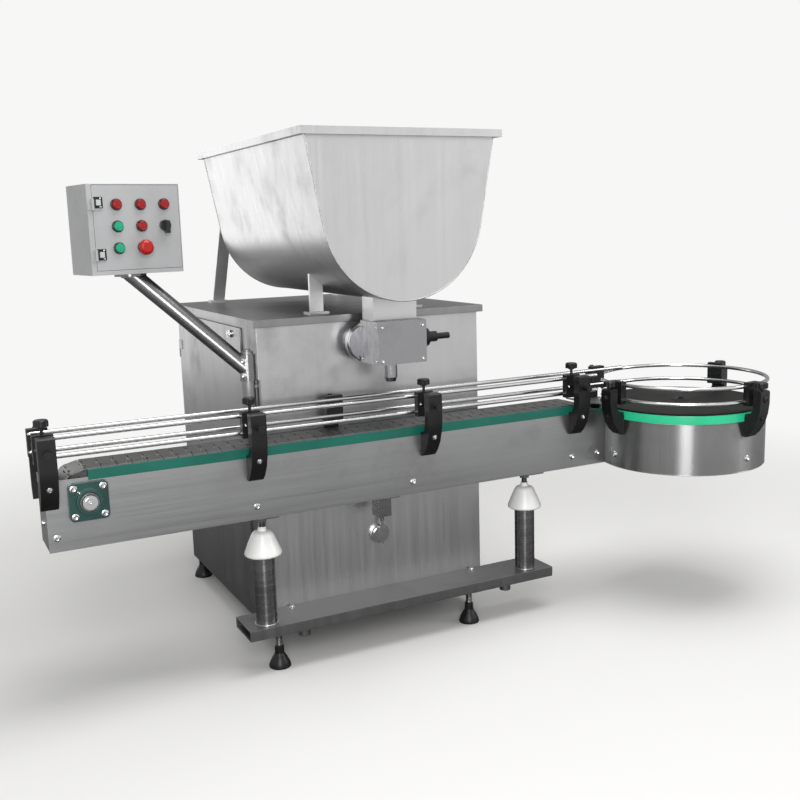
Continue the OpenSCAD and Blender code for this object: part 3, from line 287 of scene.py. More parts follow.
def castFinish(name, look):
    material, tree, shader, place = startFinish(name)
    grain = useGroup(tree, mouldedGrain, place, {"Size": finishLook["castGrain"]})
    edge = useGroup(tree, edgeWear, place, {"Radius": 0.002, "Amount": look["chips"]})["Mask"]
    dust = useGroup(tree, settledDust, place, {"Amount": finishLook["oldDust"]})["Mask"]
    chipped = mixColour(tree, edge, patchTone(tree, grain, look, 0.4, 0.62), look["bare"])
    feed(tree, shader, {
        "Base Color": mixColour(tree, dust, chipped, finishLook["castDust"]),
        "Roughness": patchRough(tree, grain, look, 0.08, 0.1),
        "Metallic": times(tree, edge, 0.9),
        "Normal": relief(tree, grain["Height"], look["depth"]),
    }, {"Coat Weight": look["coat"], "Coat Roughness": 0.25})
    return material


def paintFinish(name, look):
    material, tree, shader, place = startFinish(name)
    grain = useGroup(tree, mouldedGrain, place, {"Size": look["grain"]})
    marks = useGroup(tree, handlingMarks, place, {"Size": finishLook["paintMarks"]})
    edge = useGroup(tree, edgeWear, place, {"Radius": 0.001, "Amount": look["chips"]})["Mask"]
    dust = useGroup(tree, settledDust, place, {"Amount": finishLook["oldDust"]})["Mask"]
    tone = patchTone(tree, grain, look)
    rubbed = mixColour(tree, times(tree, marks["Mask"], 0.22), tone, shade(look["colour"], 0.55))
    chipped = mixColour(tree, edge, rubbed, look["bare"])
    feed(tree, shader, {
        "Base Color": mixColour(tree, dust, chipped, finishLook["paintDust"]),
        "Roughness": plus(tree, patchRough(tree, grain, look, 0.05, 0.05), times(tree, marks["Mask"], 0.1)),
        "Normal": relief(tree, grain["Height"], look["depth"]),
    })
    return material


def lampFinish(name, look):
    material, tree, shader, place = startFinish(name)
    grain = useGroup(tree, mouldedGrain, place, {"Size": finishLook["lensGrain"]})
    sideways = addNode(tree, "LayerWeight", None, {"Blend": 0.35}).outputs["Facing"]
    feed(tree, shader, {
        "Base Color": mixColour(tree, sideways, patchTone(tree, grain, look, 0.3, 0.7), look["rim"]),
        "Roughness": patchRough(tree, grain, look, 0.04, 0.05),
        "Normal": relief(tree, grain["Height"], 0.00004),
    }, {
        "Emission Color": (*look["glow"], 1.0), "Emission Strength": look["glowStrength"],
        "Coat Weight": 0.2, "Coat Roughness": 0.06, "Specular IOR Level": 0.3,
    })
    return material


# The steel colours are set darker or lighter from part to part to stand in for the dark or bright
# surroundings that each part mirrors: painted shade and painted reflection in the base colour.
steelLooks = {
    "cabinetSteel": {
        "colour": (0.28, 0.28, 0.283), "contrast": 0.07, "stretch": (420.0, 420.0, 5.0), "rough": 0.36,
        "depth": 0.00006, "markSize": 3.5, "cloud": 0.25, "edge": 0.0012, "dust": 0.10,
    },
    "plateSteel": {
        "colour": (0.36, 0.362, 0.365), "contrast": 0.07, "stretch": (4.0, 300.0, 520.0), "rough": 0.34,
        "depth": 0.00006, "markSize": 4.0, "cloud": 0.2, "edge": 0.0010, "dust": 0.10,
    },
    "hopperSteel": {
        "colour": (0.56, 0.56, 0.565), "contrast": 0.025, "stretch": (600.0, 600.0, 6.0), "rough": 0.33,
        "depth": 0.00002, "markSize": 2.6, "cloud": 0.10, "edge": 0.0012, "dust": 0.06, "wear": 0.3,
    },
    "drumSteel": {
        "colour": (0.31, 0.31, 0.312), "contrast": 0.05, "stretch": (700.0, 700.0, 6.0), "rough": 0.30,
        "depth": 0.00002, "markSize": 4.5, "cloud": 0.30, "edge": 0.0012, "dust": 0.05, "sheen": 0.9,
    },
    "tubeSteel": {
        "colour": (0.22, 0.22, 0.223), "contrast": 0.05, "stretch": (40.0, 40.0, 700.0), "rough": 0.24,
        "depth": 0.00001, "markSize": 9.0, "cloud": 0.25, "edge": 0.0008, "dust": 0.05, "sheen": 0.85,
    },
    "chainSteel": {
        "colour": (0.20, 0.198, 0.195), "contrast": 0.12, "stretch": (18.0, 500.0, 500.0), "rough": 0.42,
        "depth": 0.00005, "markSize": 16.0, "cloud": 0.4, "edge": 0.0008, "dust": 0.05, "wear": 0.4,
    },
    "brightTrim": {
        "colour": (0.66, 0.66, 0.67), "contrast": 0.05, "stretch": (30.0, 500.0, 500.0), "rough": 0.15,
        "depth": 0.00002, "markSize": 14.0, "cloud": 0.20, "edge": 0.0006, "dust": 0.03,
    },
    "polishedSteel": {
        "colour": (0.30, 0.30, 0.31), "contrast": 0.06, "stretch": (60.0, 500.0, 60.0), "rough": 0.12,
        "depth": 0.000008, "markSize": 10.0, "cloud": 0.25, "edge": 0.0008, "dust": 0.03,
    },
    "valveSteel": {
        "colour": (0.30, 0.30, 0.31), "contrast": 0.02, "stretch": (900.0, 900.0, 60.0), "rough": 0.27,
        "depth": 0.000001, "markSize": 9.0, "cloud": 0.1, "edge": 0.0012, "dust": 0.04,
    },
    "cylinderAluminium": {
        "colour": (0.55, 0.56, 0.57), "contrast": 0.06, "stretch": (300.0, 6.0, 300.0), "rough": 0.35,
        "depth": 0.00003, "markSize": 8.0, "cloud": 0.25, "edge": 0.0010, "dust": 0.10,
    },
    "panelSteel": {
        "colour": (0.50, 0.50, 0.502), "contrast": 0.05, "stretch": (420.0, 420.0, 5.0), "rough": 0.36,
        "depth": 0.00003, "markSize": 3.5, "cloud": 0.2, "edge": 0.0012, "dust": 0.08,
    },
    "bezelSteel": {
        "colour": (0.07, 0.066, 0.066), "contrast": 0.05, "stretch": (300.0, 300.0, 300.0), "rough": 0.22,
        "depth": 0.00001, "markSize": 14.0, "cloud": 0.2, "edge": 0.0006, "dust": 0.03,
    },
    "weldSteel": {
        "colour": (0.42, 0.41, 0.40), "contrast": 0.25, "stretch": (350.0, 350.0, 350.0), "rough": 0.32,
        "depth": 0.00015, "markSize": 30.0, "cloud": 0.60, "edge": 0.0006, "dust": 0.03,
    },
}
plasticLooks = {
    "blackPlastic": {
        "colour": (0.006, 0.006, 0.0065), "second": (0.012, 0.012, 0.013),
        "edgeColour": (0.07, 0.07, 0.073),
        "edgeAmount": 0.6, "rough": 0.38, "grain": 520.0, "depth": 0.00012, "dust": 0.05, "coat": 0.0,
        "specular": 0.3,
    },
    "discPlastic": {
        "colour": (0.008, 0.0075, 0.0075), "second": (0.016, 0.015, 0.014),
        "edgeColour": (0.06, 0.056, 0.053),
        "edgeAmount": 0.5, "rough": 0.6, "grain": 300.0, "depth": 0.00008, "dust": 0.03, "coat": 0.0,
        "specular": 0.12,
    },
    "whitePlastic": {
        "colour": (0.86, 0.86, 0.84), "second": (0.79, 0.79, 0.76), "edgeColour": (0.84, 0.84, 0.82),
        "edgeAmount": 0.4, "rough": 0.36, "grain": 380.0, "depth": 0.00010, "dust": 0.12, "coat": 0.15,
    },
    "stripGreen": {
        "colour": (0.003, 0.105, 0.075), "second": (0.005, 0.13, 0.092), "edgeColour": (0.02, 0.22, 0.165),
        "edgeAmount": 0.6, "rough": 0.36, "grain": 420.0, "depth": 0.00010, "dust": 0.08, "coat": 0.1,
        "specular": 0.35,
    },
    "rimGreen": {
        "colour": (0.016, 0.58, 0.28), "second": (0.022, 0.66, 0.33), "edgeColour": (0.08, 0.66, 0.38),
        "edgeAmount": 0.5, "rough": 0.30, "grain": 420.0, "depth": 0.00010, "dust": 0.05, "coat": 0.2,
    },
    "sprocketPlastic": {
        "colour": (0.16, 0.165, 0.17), "second": (0.20, 0.205, 0.21), "edgeColour": (0.30, 0.30, 0.31),
        "edgeAmount": 0.6, "rough": 0.42, "grain": 450.0, "depth": 0.00012, "dust": 0.10, "coat": 0.0,
    },
    "selectorBlack": {
        "colour": (0.014, 0.014, 0.015), "second": (0.020, 0.020, 0.021), "edgeColour": (0.08, 0.08, 0.08),
        "edgeAmount": 0.5, "rough": 0.32, "grain": 700.0, "depth": 0.00005, "dust": 0.04, "coat": 0.1,
        "specular": 0.3,
    },
}
castLooks = {
    "bearingIron": {
        "colour": (0.002, 0.032, 0.026), "second": (0.004, 0.056, 0.045), "bare": (0.30, 0.36, 0.34),
        "chips": 0.45, "rough": 0.36, "depth": 0.00045, "coat": 0.12,
    },
    "motorPaint": {
        "colour": (0.105, 0.125, 0.145), "second": (0.13, 0.15, 0.17), "bare": (0.40, 0.41, 0.42),
        "chips": 0.35, "rough": 0.38, "depth": 0.00030, "coat": 0.1,
    },
}
paintLooks = {
    "boxPaint": {
        "colour": (0.37, 0.374, 0.378), "second": (0.40, 0.404, 0.408), "bare": (0.66, 0.66, 0.67),
        "chips": 0.4, "rough": 0.42, "grain": 650.0, "depth": 0.00010,
    },
}
lampLooks = {
    "redLens": {
        "colour": (0.22, 0.003, 0.002), "second": (0.27, 0.005, 0.004), "rim": (0.22, 0.004, 0.004),
        "glow": (1.0, 0.03, 0.02), "glowStrength": 0.05, "rough": 0.20,
    },
    "stopRed": {
        "colour": (0.36, 0.006, 0.005), "second": (0.42, 0.009, 0.007), "rim": (0.30, 0.006, 0.005),
        "glow": (1.0, 0.04, 0.02), "glowStrength": 0.03, "rough": 0.26,
    },
    "greenLens": {
        "colour": (0.006, 0.27, 0.15), "second": (0.010, 0.33, 0.18), "rim": (0.004, 0.15, 0.07),
        "glow": (0.05, 1.0, 0.4), "glowStrength": 0.05, "rough": 0.20,
    },
}
finishes = {}
for maker, looks in (
    (steelFinish, steelLooks),
    (plasticFinish, plasticLooks),
    (castFinish, castLooks),
    (paintFinish, paintLooks),
    (lampFinish, lampLooks),
):
    for finishName, look in looks.items():
        finishes[finishName] = maker(finishName, look)
print("stage: finishes made", len(finishes))

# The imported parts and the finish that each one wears
nodeFinishes = {
    "panelSteel": ["front_panel"],
    "bezelSteel": ["button_bezels"],
    "cabinetSteel": ["cabinet_shell", "cabinet_lid", "service_door", "base_rail", "arm_post"],
    "plateSteel": ["front_side_plate", "rear_side_plate", "cross_members", "transfer_plate"],
    "hopperSteel": ["hopper", "hopper_legs", "hopper_neck"],
    "drumSteel": ["table_drum"],
    "tubeSteel": ["posts", "height_screws", "table_shaft", "swing_arm"],
    "chainSteel": ["slat_chain"],
    "brightTrim": ["door_lock", "panel_latch", "frame_bolts", "front_guide_rods", "rear_guide_rods",
                   "guide_rings", "drive_shaft"],
    "polishedSteel": ["product_cylinder", "tube_clamp", "filling_nozzle"],
    "valveSteel": ["valve_block", "valve_plug", "product_piston"],
    "blackPlastic": ["levelling_feet", "guide_brackets", "guide_knobs", "front_guide_clips",
                     "rear_guide_clips", "ring_brackets", "valve_handle"],
    "discPlastic": ["table_disc"],
    "whitePlastic": ["post_caps"],
    "stripGreen": ["wear_strips"],
    "rimGreen": ["table_rim"],
    "sprocketPlastic": ["drive_sprockets", "idler_sprockets"],
    "bearingIron": ["shaft_bearings"],
    "motorPaint": ["gearmotor", "table_drive"],
    "cylinderAluminium": ["air_cylinder"],
    "boxPaint": ["control_box", "box_door"],
    "redLens": ["red_button_1", "red_button_2", "red_button_3", "red_button_4"],
    "stopRed": ["stop_button"],
    "greenLens": ["green_button_1", "green_button_2"],
    "selectorBlack": ["selector_knob"],
}
for finishName, nodeNames in nodeFinishes.items():
    for nodeName in nodeNames:
        mesh = cadNodes[nodeName].data
        mesh.materials.clear()
        mesh.materials.append(finishes[finishName])
print("stage: packed parts dressed")


# Mesh tools


# Profile points (radius, height) from millimetres; a loop comes back to its first point
def inMetres(profile, loop=False):
    points = [(mm(radius), mm(height)) for radius, height in profile]
    return points + points[:1] if loop else points


# A form turned round Z from (radius, height) points; the rings listed in hexAt are hexagons
def turned(bm, profile, matrix, segments=32, hexAt=()):
    rings = []
    for index, (radius, height) in enumerate(profile):
        if radius == 0:
            rings.append([bm.verts.new(matrix @ Vector((0, 0, height)))])
            continue
        ring = []
        for step in range(segments):
            angle = 2 * math.pi * step / segments
            reach = radius
            if index in hexAt:
                reach = radius * math.cos(math.pi / 6) / math.cos(angle % (math.pi / 3) - math.pi / 6)
            point = Vector((reach * math.cos(angle), reach * math.sin(angle), height))
            ring.append(bm.verts.new(matrix @ point))
        rings.append(ring)
    for lower, upper in zip(rings, rings[1:]):
        for step in range(segments):
            after = (step + 1) % segments
            if len(lower) == 1 and len(upper) > 1:
                bm.faces.new((lower[0], upper[after], upper[step]))
            elif len(upper) == 1 and len(lower) > 1:
                bm.faces.new((lower[step], lower[after], upper[0]))
            elif len(lower) > 1:
                bm.faces.new((lower[step], lower[after], upper[after], upper[step]))
    for ring, order in ((rings[0], -1), (rings[-1], 1)):
        if len(ring) > 1:
            bm.faces.new(ring[::order])


# A round bar along points; radiusAt gives its radius at each point's index
def swept(bm, points, radiusAt, sides=10, closed=False):
    count = len(points)
    rings = []
    side = None
    for index, point in enumerate(points):
        before = points[index - 1] if index or closed else point
        after = points[(index + 1) % count] if index < count - 1 or closed else point
        along = (after - before).normalized()
        if side is None:
            side = along.orthogonal().normalized()
        side = (side - along * side.dot(along)).normalized()
        over = along.cross(side)
        radius = radiusAt(index)
        ring = []
        for step in range(sides):
            angle = 2 * math.pi * step / sides
            rim = point + side * radius * math.cos(angle) + over * radius * math.sin(angle)
            ring.append(bm.verts.new(rim))
        rings.append(ring)
    pairs = list(zip(rings, rings[1:]))
    if closed:
        pairs.append((rings[-1], rings[0]))
    for lower, upper in pairs:
        for step in range(sides):
            after = (step + 1) % sides
            bm.faces.new((lower[step], lower[after], upper[after], upper[step]))
    if not closed:
        bm.faces.new(rings[0][::-1])
        bm.faces.new(rings[-1])


# A box between two corners with softened edges
def plate(bm, low, high, soft):
    made = bmesh.ops.create_cube(bm, size=1.0)["verts"]
    size = high - low
    for vert in made:
        vert.co = Vector([low[i] + (vert.co[i] + 0.5) * size[i] for i in range(3)])
    edges = list(dict.fromkeys(edge for vert in made for edge in vert.link_edges))
    bmesh.ops.bevel(bm, geom=edges, offset=min(soft, min(size) * 0.3), segments=2, affect="EDGES")


# Puts a turned form's foot at point, with its Z along direction
def facing(point, direction):
    return Matrix.Translation(point) @ Vector(direction).to_track_quat("Z", "Y").to_matrix().to_4x4()


def ringPath(centre, radius, steps=36):
    angles = [2 * math.pi * step / steps for step in range(steps)]
    return [centre + Vector((math.cos(angle), math.sin(angle), 0)) * mm(radius) for angle in angles]


def piece(name, body, finish, build, smoothAngle=35.0, stands=()):
    bm = bmesh.new()
    build(bm)
    bmesh.ops.recalc_face_normals(bm, faces=bm.faces)
    mesh = bpy.data.meshes.new(name)
    bm.to_mesh(mesh)
    bm.free()
    mesh.materials.append(finishes[finish])
    made = bpy.data.objects.new(name, mesh)
    bpy.context.scene.collection.objects.link(made)
    mesh.shade_smooth()
    mesh.set_sharp_from_angle(angle=math.radians(smoothAngle))
    if stands:
        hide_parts(*stands)
    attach(made, body)


# Boxes (low, high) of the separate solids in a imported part
def solidsOf(nodeName):
    mesh = cadNodes[nodeName].data
    owner = {}
    parent = list(range(len(mesh.vertices)))

    def find(index):
        while parent[index] != index:
            parent[index] = parent[parent[index]]
            index = parent[index]
        return index

    for vert in mesh.vertices:
        key = tuple(round(c, 6) for c in vert.co)
        parent[vert.index] = find(owner.setdefault(key, vert.index))
    for polygon in mesh.polygons:
        first = find(polygon.vertices[0])
        for other in polygon.vertices[1:]:
            parent[find(other)] = first
    groups = {}
    for vert in mesh.vertices:
        groups.setdefault(find(vert.index), []).append(vert.co)
    boxes = []
    for points in groups.values():
        low = Vector([min(p[i] for p in points) for i in range(3)])
        high = Vector([max(p[i] for p in points) for i in range(3)])
        boxes.append((low, high))
    return sorted(boxes, key=lambda pair: tuple(round(c, 4) for c in pair[0]))


# Softened edges: small rounds, in millimetres, that catch the light
softEdges = {
    "cabinet_lid": 1.6, "service_door": 1.0, "front_panel": 0.8, "base_rail": 1.2, "front_side_plate": 0.5,
    "rear_side_plate": 0.5, "hopper_legs": 0.8, "valve_block": 1.2, "control_box": 1.0, "box_door": 1.0,
    "guide_brackets": 1.2, "ring_brackets": 1.2, "front_guide_clips": 1.0, "rear_guide_clips": 1.0,
    "panel_latch": 0.8, "door_lock": 0.5, "valve_handle": 1.0, "shaft_bearings": 1.2, "air_cylinder": 1.0,
    "table_drum": 0.8, "table_rim": 2.0, "table_disc": 1.0, "post_caps": 1.5, "posts": 0.8, "hopper": 1.0,
    "hopper_neck": 0.8, "guide_knobs": 1.0, "transfer_plate": 0.4, "levelling_feet": 1.0,
    "selector_knob": 1.2, "stop_button": 1.2, "button_bezels": 0.4, "slat_chain": 0.4, "wear_strips": 0.6,
    "tube_clamp": 0.6, "height_screws": 0.8, "gearmotor": 0.8, "swing_arm": 0.8,
}
softLook = {"weld": 0.002, "flat": 0.6, "sharp": 32.0, "smooth": 28.0, "profile": 0.6, "flangeCut": 884.9}


# The valve flange's square end is cut off here, and the round one stands in its place
def cutFlange(bm):
    everything = bm.verts[:] + bm.edges[:] + bm.faces[:]
    cut = at(softLook["flangeCut"], 0, 0)
    bmesh.ops.bisect_plane(bm, geom=everything, plane_co=cut, plane_no=(1, 0, 0), clear_inner=True)
    bmesh.ops.holes_fill(bm, edges=[edge for edge in bm.edges if edge.is_boundary], sides=0)


def softenNode(nodeName, width):
    source = cadNodes[nodeName]
    bm = bmesh.new()
    bm.from_mesh(source.data)
    bmesh.ops.remove_doubles(bm, verts=bm.verts, dist=mm(softLook["weld"]))
    if nodeName == "valve_block":
        cutFlange(bm)
    flat = math.radians(softLook["flat"])
    bmesh.ops.dissolve_limit(bm, angle_limit=flat, verts=bm.verts, edges=bm.edges)
    turn = math.radians(softLook["sharp"])
    sharp = [edge for edge in bm.edges if len(edge.link_faces) == 2 and edge.calc_face_angle(0.0) > turn]
    bmesh.ops.bevel(
        bm, geom=sharp, offset=mm(width), offset_type="OFFSET", segments=2, profile=softLook["profile"],
        affect="EDGES", clamp_overlap=True, loop_slide=False,
    )
    mesh = bpy.data.meshes.new(nodeName + "_soft")
    bm.to_mesh(mesh)
    bm.free()
    mesh.materials.append(source.data.materials[0])
    made = bpy.data.objects.new(nodeName + "_soft", mesh)
    bpy.context.scene.collection.objects.link(made)
    mesh.shade_smooth()
    mesh.set_sharp_from_angle(angle=math.radians(softLook["smooth"]))
    evenNormals = made.modifiers.new("evenNormals", "WEIGHTED_NORMAL")
    evenNormals.keep_sharp = True
    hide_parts(nodeName)
    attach(made, bodyOf[nodeName])


for nodeName, width in softEdges.items():
    softenNode(nodeName, width)
print("stage: edges softened")

# Screws: a round head with a hexagon socket, on a washer. Sizes in looks are (radius, height).
screwLook = {"washerOut": 1.45, "washerThick": 1.2, "socketShare": 0.52, "socketDeep": 0.6}


def socketScrew(bm, point, direction, radius, height, washer=True):
    lift = 0.0
    place = facing(point, direction)
    if washer:
        lift = mm(screwLook["washerThick"])
        wide = radius * screwLook["washerOut"]
        turned(bm, [(0, 0), (wide, 0), (wide, lift * 0.8), (wide - lift * 0.3, lift), (0, lift)], place, 28)
    socket = radius * screwLook["socketShare"]
    floor = lift + height * (1 - screwLook["socketDeep"])
    profile = [
        (0, lift), (radius, lift), (radius, lift + height * 0.55), (radius * 0.93, lift + height * 0.82),
        (radius * 0.78, lift + height), (socket * 1.12, lift + height), (socket, lift + height * 0.94),
        (socket * 0.98, floor), (0, floor),
    ]
    turned(bm, profile, place, 24, hexAt=(6, 7))


def screwOn(bm, point, direction, size, washer=True):
    socketScrew(bm, point, direction, mm(size[0]), mm(size[1]), washer)


# Frame bolts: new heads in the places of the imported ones
boltLook = {
    "tableReach": 262, "leastSpan": 3, "frontDepth": 60, "slantHeight": 5, "radius": 0.86, "height": 0.9,
}
tableCentre = (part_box("table_drum")[0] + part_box("table_drum")[1]) / 2


# The way that a packed bolt head looks, from its place on the machine
def boltFacing(low, high):
    middle = (low + high) / 2
    start = middle - Vector(conveyorStart)
    size = high - low
    span = mm(boltLook["leastSpan"])
    if (middle - tableCentre).xy.length < mm(boltLook["tableReach"]) and size.x > span and size.y > span:
        return Vector((middle.x - tableCentre.x, middle.y - tableCentre.y, 0)).normalized()
    if size.z == min(size):
        return Vector((0, 0, 1))
    if size.x == min(size):
        return Vector((-1, 0, 0))
    return Vector((0, -1 if start.y < mm(boltLook["frontDepth"]) else 1, 0))


def buildFrameBolts(bm):
    for low, high in solidsOf("frame_bolts"):
        direction = boltFacing(low, high)
        size = sorted(high - low)
        straight = max(abs(c) for c in direction) > 0.999
        height = size[0] if straight else mm(boltLook["slantHeight"])
        foot = (low + high) / 2 - direction * height / 2
        socketScrew(bm, foot, direction, size[2] / 2 * boltLook["radius"], height * boltLook["height"])


piece("boltSet", "machine", "brightTrim", buildFrameBolts, stands=("frame_bolts",))

# Bearings: inner rings, shaft centre with grub screws, grease nipples
bearingLook = {
    "x": 100.0, "z": 576.0, "faces": ((-24.0, -1), (148.0, 1)), "sunk": 3.6,
    "ring": [(18.6, 0), (24.2, 0), (24.2, 1.6), (23.4, 2.4), (19.4, 2.4), (18.6, 1.6)],
    "endY": -32, "centreHole": [(5.2, 0), (5.2, 0.4), (2.2, 0.5), (1.6, 0.1), (0, 0.1)],
    "grubY": -26.8, "grubOut": 17.6, "grubAngles": (40, 160, 280), "grub": (1.7, 1.0),
    "nippleFaces": ((-19, -1), (143, 1)), "nippleX": 78.0, "nippleZ": 599.0,
    "nipple": [(0, 0), (3.4, 0), (3.4, 3), (2.0, 4), (2.0, 6), (2.6, 7), (1.4, 9), (0, 9)],
}


def buildInnerRings(bm):
    for y, way in bearingLook["faces"]:
        foot = at(bearingLook["x"], y - way * bearingLook["sunk"], bearingLook["z"])
        turned(bm, inMetres(bearingLook["ring"], loop=True), facing(foot, (0, way, 0)), 40)


def buildShaftEnd(bm):
    end = at(bearingLook["x"], bearingLook["endY"], bearingLook["z"])
    turned(bm, inMetres(bearingLook["centreHole"]), facing(end, (0, -1, 0)), 20)
    collar = at(bearingLook["x"], bearingLook["grubY"], bearingLook["z"])
    for angle in bearingLook["grubAngles"]:
        way = Vector((math.cos(math.radians(angle)), 0, math.sin(math.radians(angle))))
        screwOn(bm, collar + way * mm(bearingLook["grubOut"]), way, bearingLook["grub"], False)


def buildNipples(bm):
    for y, way in bearingLook["nippleFaces"]:
        point = at(bearingLook["nippleX"], y, bearingLook["nippleZ"])
        direction = Vector((-0.55, 0.35 * way, 0.76)).normalized()
        turned(bm, inMetres(bearingLook["nipple"]), facing(point, direction), 18, hexAt=(1, 2))


piece("bearingRings", "drive", "tubeSteel", buildInnerRings)
piece("shaftEnd", "drive", "brightTrim", buildShaftEnd)
piece("greaseNipples", "machine", "brightTrim", buildNipples)

# Height screws and feet: threads, lock nuts and rubber rings
supportLook = {
    "postX": (558.0, 1418.0), "laneY": 62.0, "capTop": 417.2, "postFoot": 141.4, "postWeld": 31.2,
    "stud": {"radius": 8.0, "length": 14.6, "pitch": 2.0, "depth": 0.6},
    "footStem": {"radius": 9.0, "length": 35, "pitch": 2.5, "depth": 0.5}, "stemFoot": 63, "stemTop": 90,
    "nut": {"flats": 30, "height": 11, "bore": 8.9}, "nutDown": 11.5,
    "rubber": [(28, 0.2), (30.6, 0.2), (31, 1.4), (31, 4.6), (30.2, 5.6), (28, 5.6)],
}


# Thread crests round an upright stem
def threadOn(bm, point, look):
    radius, length, pitch, depth = (mm(look[key]) for key in ("radius", "length", "pitch", "depth"))
    crests = ((0.1, 0), (0.5, depth), (0.9, 0))
    profile = [(radius * 0.9, 0)]
    for step in range(int(length / pitch)):
        profile += [(radius + crest, step * pitch + pitch * share) for share, crest in crests]
    profile.append((radius * 0.9, length))
    turned(bm, profile, facing(point, (0, 0, 1)), 24)


# Chamfered hexagon nut, lying flat
def hexNut(bm, point, look):
    reach = mm(look["flats"]) / math.sqrt(3)
    height, bore = mm(look["height"]), mm(look["bore"])
    profile = [(bore, 0), (reach * 0.88, 0), (reach, height * 0.16), (reach, height * 0.84)]
    profile += [(reach * 0.88, height), (bore, height)]
    turned(bm, profile, facing(point, (0, 0, 1)), 36, hexAt=(2, 3))


def buildStudThreads(bm):
    for x in supportLook["postX"]:
        threadOn(bm, at(x, supportLook["laneY"], supportLook["capTop"]), supportLook["stud"])


def buildFootNuts(bm):
    for low, high in solidsOf("levelling_feet"):
        x, y, top = (low.x + high.x) / 2, (low.y + high.y) / 2, high.z
        if top > mm(supportLook["stemTop"]):
            hexNut(bm, Vector((x, y, top - mm(supportLook["nutDown"]))), supportLook["nut"])
            threadOn(bm, Vector((x, y, mm(supportLook["stemFoot"]))), supportLook["footStem"])


def buildFootRubbers(bm):
    for low, high in solidsOf("levelling_feet"):
        foot = Matrix.Translation(((low.x + high.x) / 2, (low.y + high.y) / 2, 0))
        turned(bm, inMetres(supportLook["rubber"], loop=True), foot, 40)


piece("studThreads", "machine", "tubeSteel", buildStudThreads, smoothAngle=25)
piece("footNuts", "machine", "tubeSteel", buildFootNuts, smoothAngle=25)
piece("footRubbers", "machine", "blackPlastic", buildFootRubbers)

# Weld seams: rippled beads along paths
weldLook = {"bead": 2.1, "ripple": 0.35, "step": 2.6, "neckUp": 0.6}


def weld(bm, points, closed=False, size=1.0):
    path = []
    count = len(points)
    for index in range(count if closed else count - 1):
        first, second = points[index], points[(index + 1) % count]
        steps = max(1, int((second - first).length / mm(weldLook["step"])))
        path += [first.lerp(second, step / steps) for step in range(steps)]
    if not closed:
        path.append(points[-1])

    def radiusAt(index):
        return mm(weldLook["bead"] * size + weldLook["ripple"] * size * (1 if index % 2 else -1) * 0.5)

    swept(bm, path, radiusAt, sides=7, closed=closed)


# Hopper: seams of its end walls, from outside in, and the drain ring in its bottom
hopperLook = {
    "middle": 960.0, "front": -62.0, "rear": 817.0, "radius": 239.0, "slope": 10.5, "bottom": 1013.0,
    "underRim": 1446.0, "arcSteps": 30,
    "seams": ({"in": 0.6, "inset": 0.6, "size": 0.8}, {"in": 3.6, "inset": 3.4, "size": 0.6}),
    "drainY": 49, "drainUp": 3, "drain": [(28.2, 0), (33, 0.6), (34, 2.2), (31, 3.4), (28.2, 2.6)],
}


# The U-shaped outline of an end wall at depth y
def hopperOutline(y, inset):
    radius = hopperLook["radius"] - inset
    middle, top = hopperLook["middle"], hopperLook["underRim"]
    centreZ = hopperLook["bottom"] + hopperLook["radius"]
    slope = math.radians(hopperLook["slope"])
    topX = radius / math.cos(slope) + (top - centreZ) * math.tan(slope)
    points = [at(middle - topX, y, top)]
    steps = hopperLook["arcSteps"]
    for step in range(steps + 1):
        angle = math.pi + slope + (math.pi - 2 * slope) * step / steps
        points.append(at(middle + radius * math.cos(angle), y, centreZ + radius * math.sin(angle)))
    points.append(at(middle + topX, y, top))
    return points


def buildHopperSeams(bm):
    for seam in hopperLook["seams"]:
        for y in (hopperLook["front"] + seam["in"], hopperLook["rear"] - seam["in"]):
            weld(bm, hopperOutline(y, seam["inset"]), size=seam["size"])


def buildHopperDrain(bm):
    foot = at(hopperLook["middle"], hopperLook["drainY"], hopperLook["bottom"] + hopperLook["drainUp"])
    turned(bm, inMetres(hopperLook["drain"], loop=True), Matrix.Translation(foot), 40)


def buildFrameWelds(bm):
    for x in supportLook["postX"]:
        foot = at(x, supportLook["laneY"], supportLook["postFoot"])
        weld(bm, ringPath(foot, supportLook["postWeld"]), closed=True)
    low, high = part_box("hopper_neck")
    base = low.z + mm(weldLook["neckUp"])
    corners = ((low.x, low.y), (high.x, low.y), (high.x, high.y), (low.x, high.y))
    weld(bm, [Vector((x, y, base)) for x, y in corners], closed=True, size=0.8)


piece("hopperSeams", "machine", "weldSteel", buildHopperSeams, smoothAngle=60)
piece("hopperDrain", "machine", "polishedSteel", buildHopperDrain)
piece("frameWelds", "machine", "weldSteel", buildFrameWelds, smoothAngle=60)

# Guide rods: rounded ends
rodLook = {"radius": 6.0, "heights": (690.0, 736.0), "depths": {"front": 20.0, "rear": 104.0}}


def roundEnd(bm, point, direction, radius, steps=6):
    profile = [(0, -radius * 0.05)]
    for step in range(steps):
        angle = math.pi / 2 * step / steps
        profile.append((radius * math.cos(angle), radius * math.sin(angle)))
    turned(bm, profile + [(0, radius)], facing(point, direction), 24)


def buildRodEnds(nodeName, depth):
    low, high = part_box(nodeName)
    y = at(0, depth, 0).y

    def build(bm):
        for z in rodLook["heights"]:
            for x, way in ((low.x, -1), (high.x, 1)):
                roundEnd(bm, Vector((x, y, mm(z))), (way, 0, 0), mm(rodLook["radius"]))

    return build


for side, depth in rodLook["depths"].items():
    build = buildRodEnds(side + "_guide_rods", depth)
    piece(side + "RodEnds", side + "_guides", "brightTrim", build)

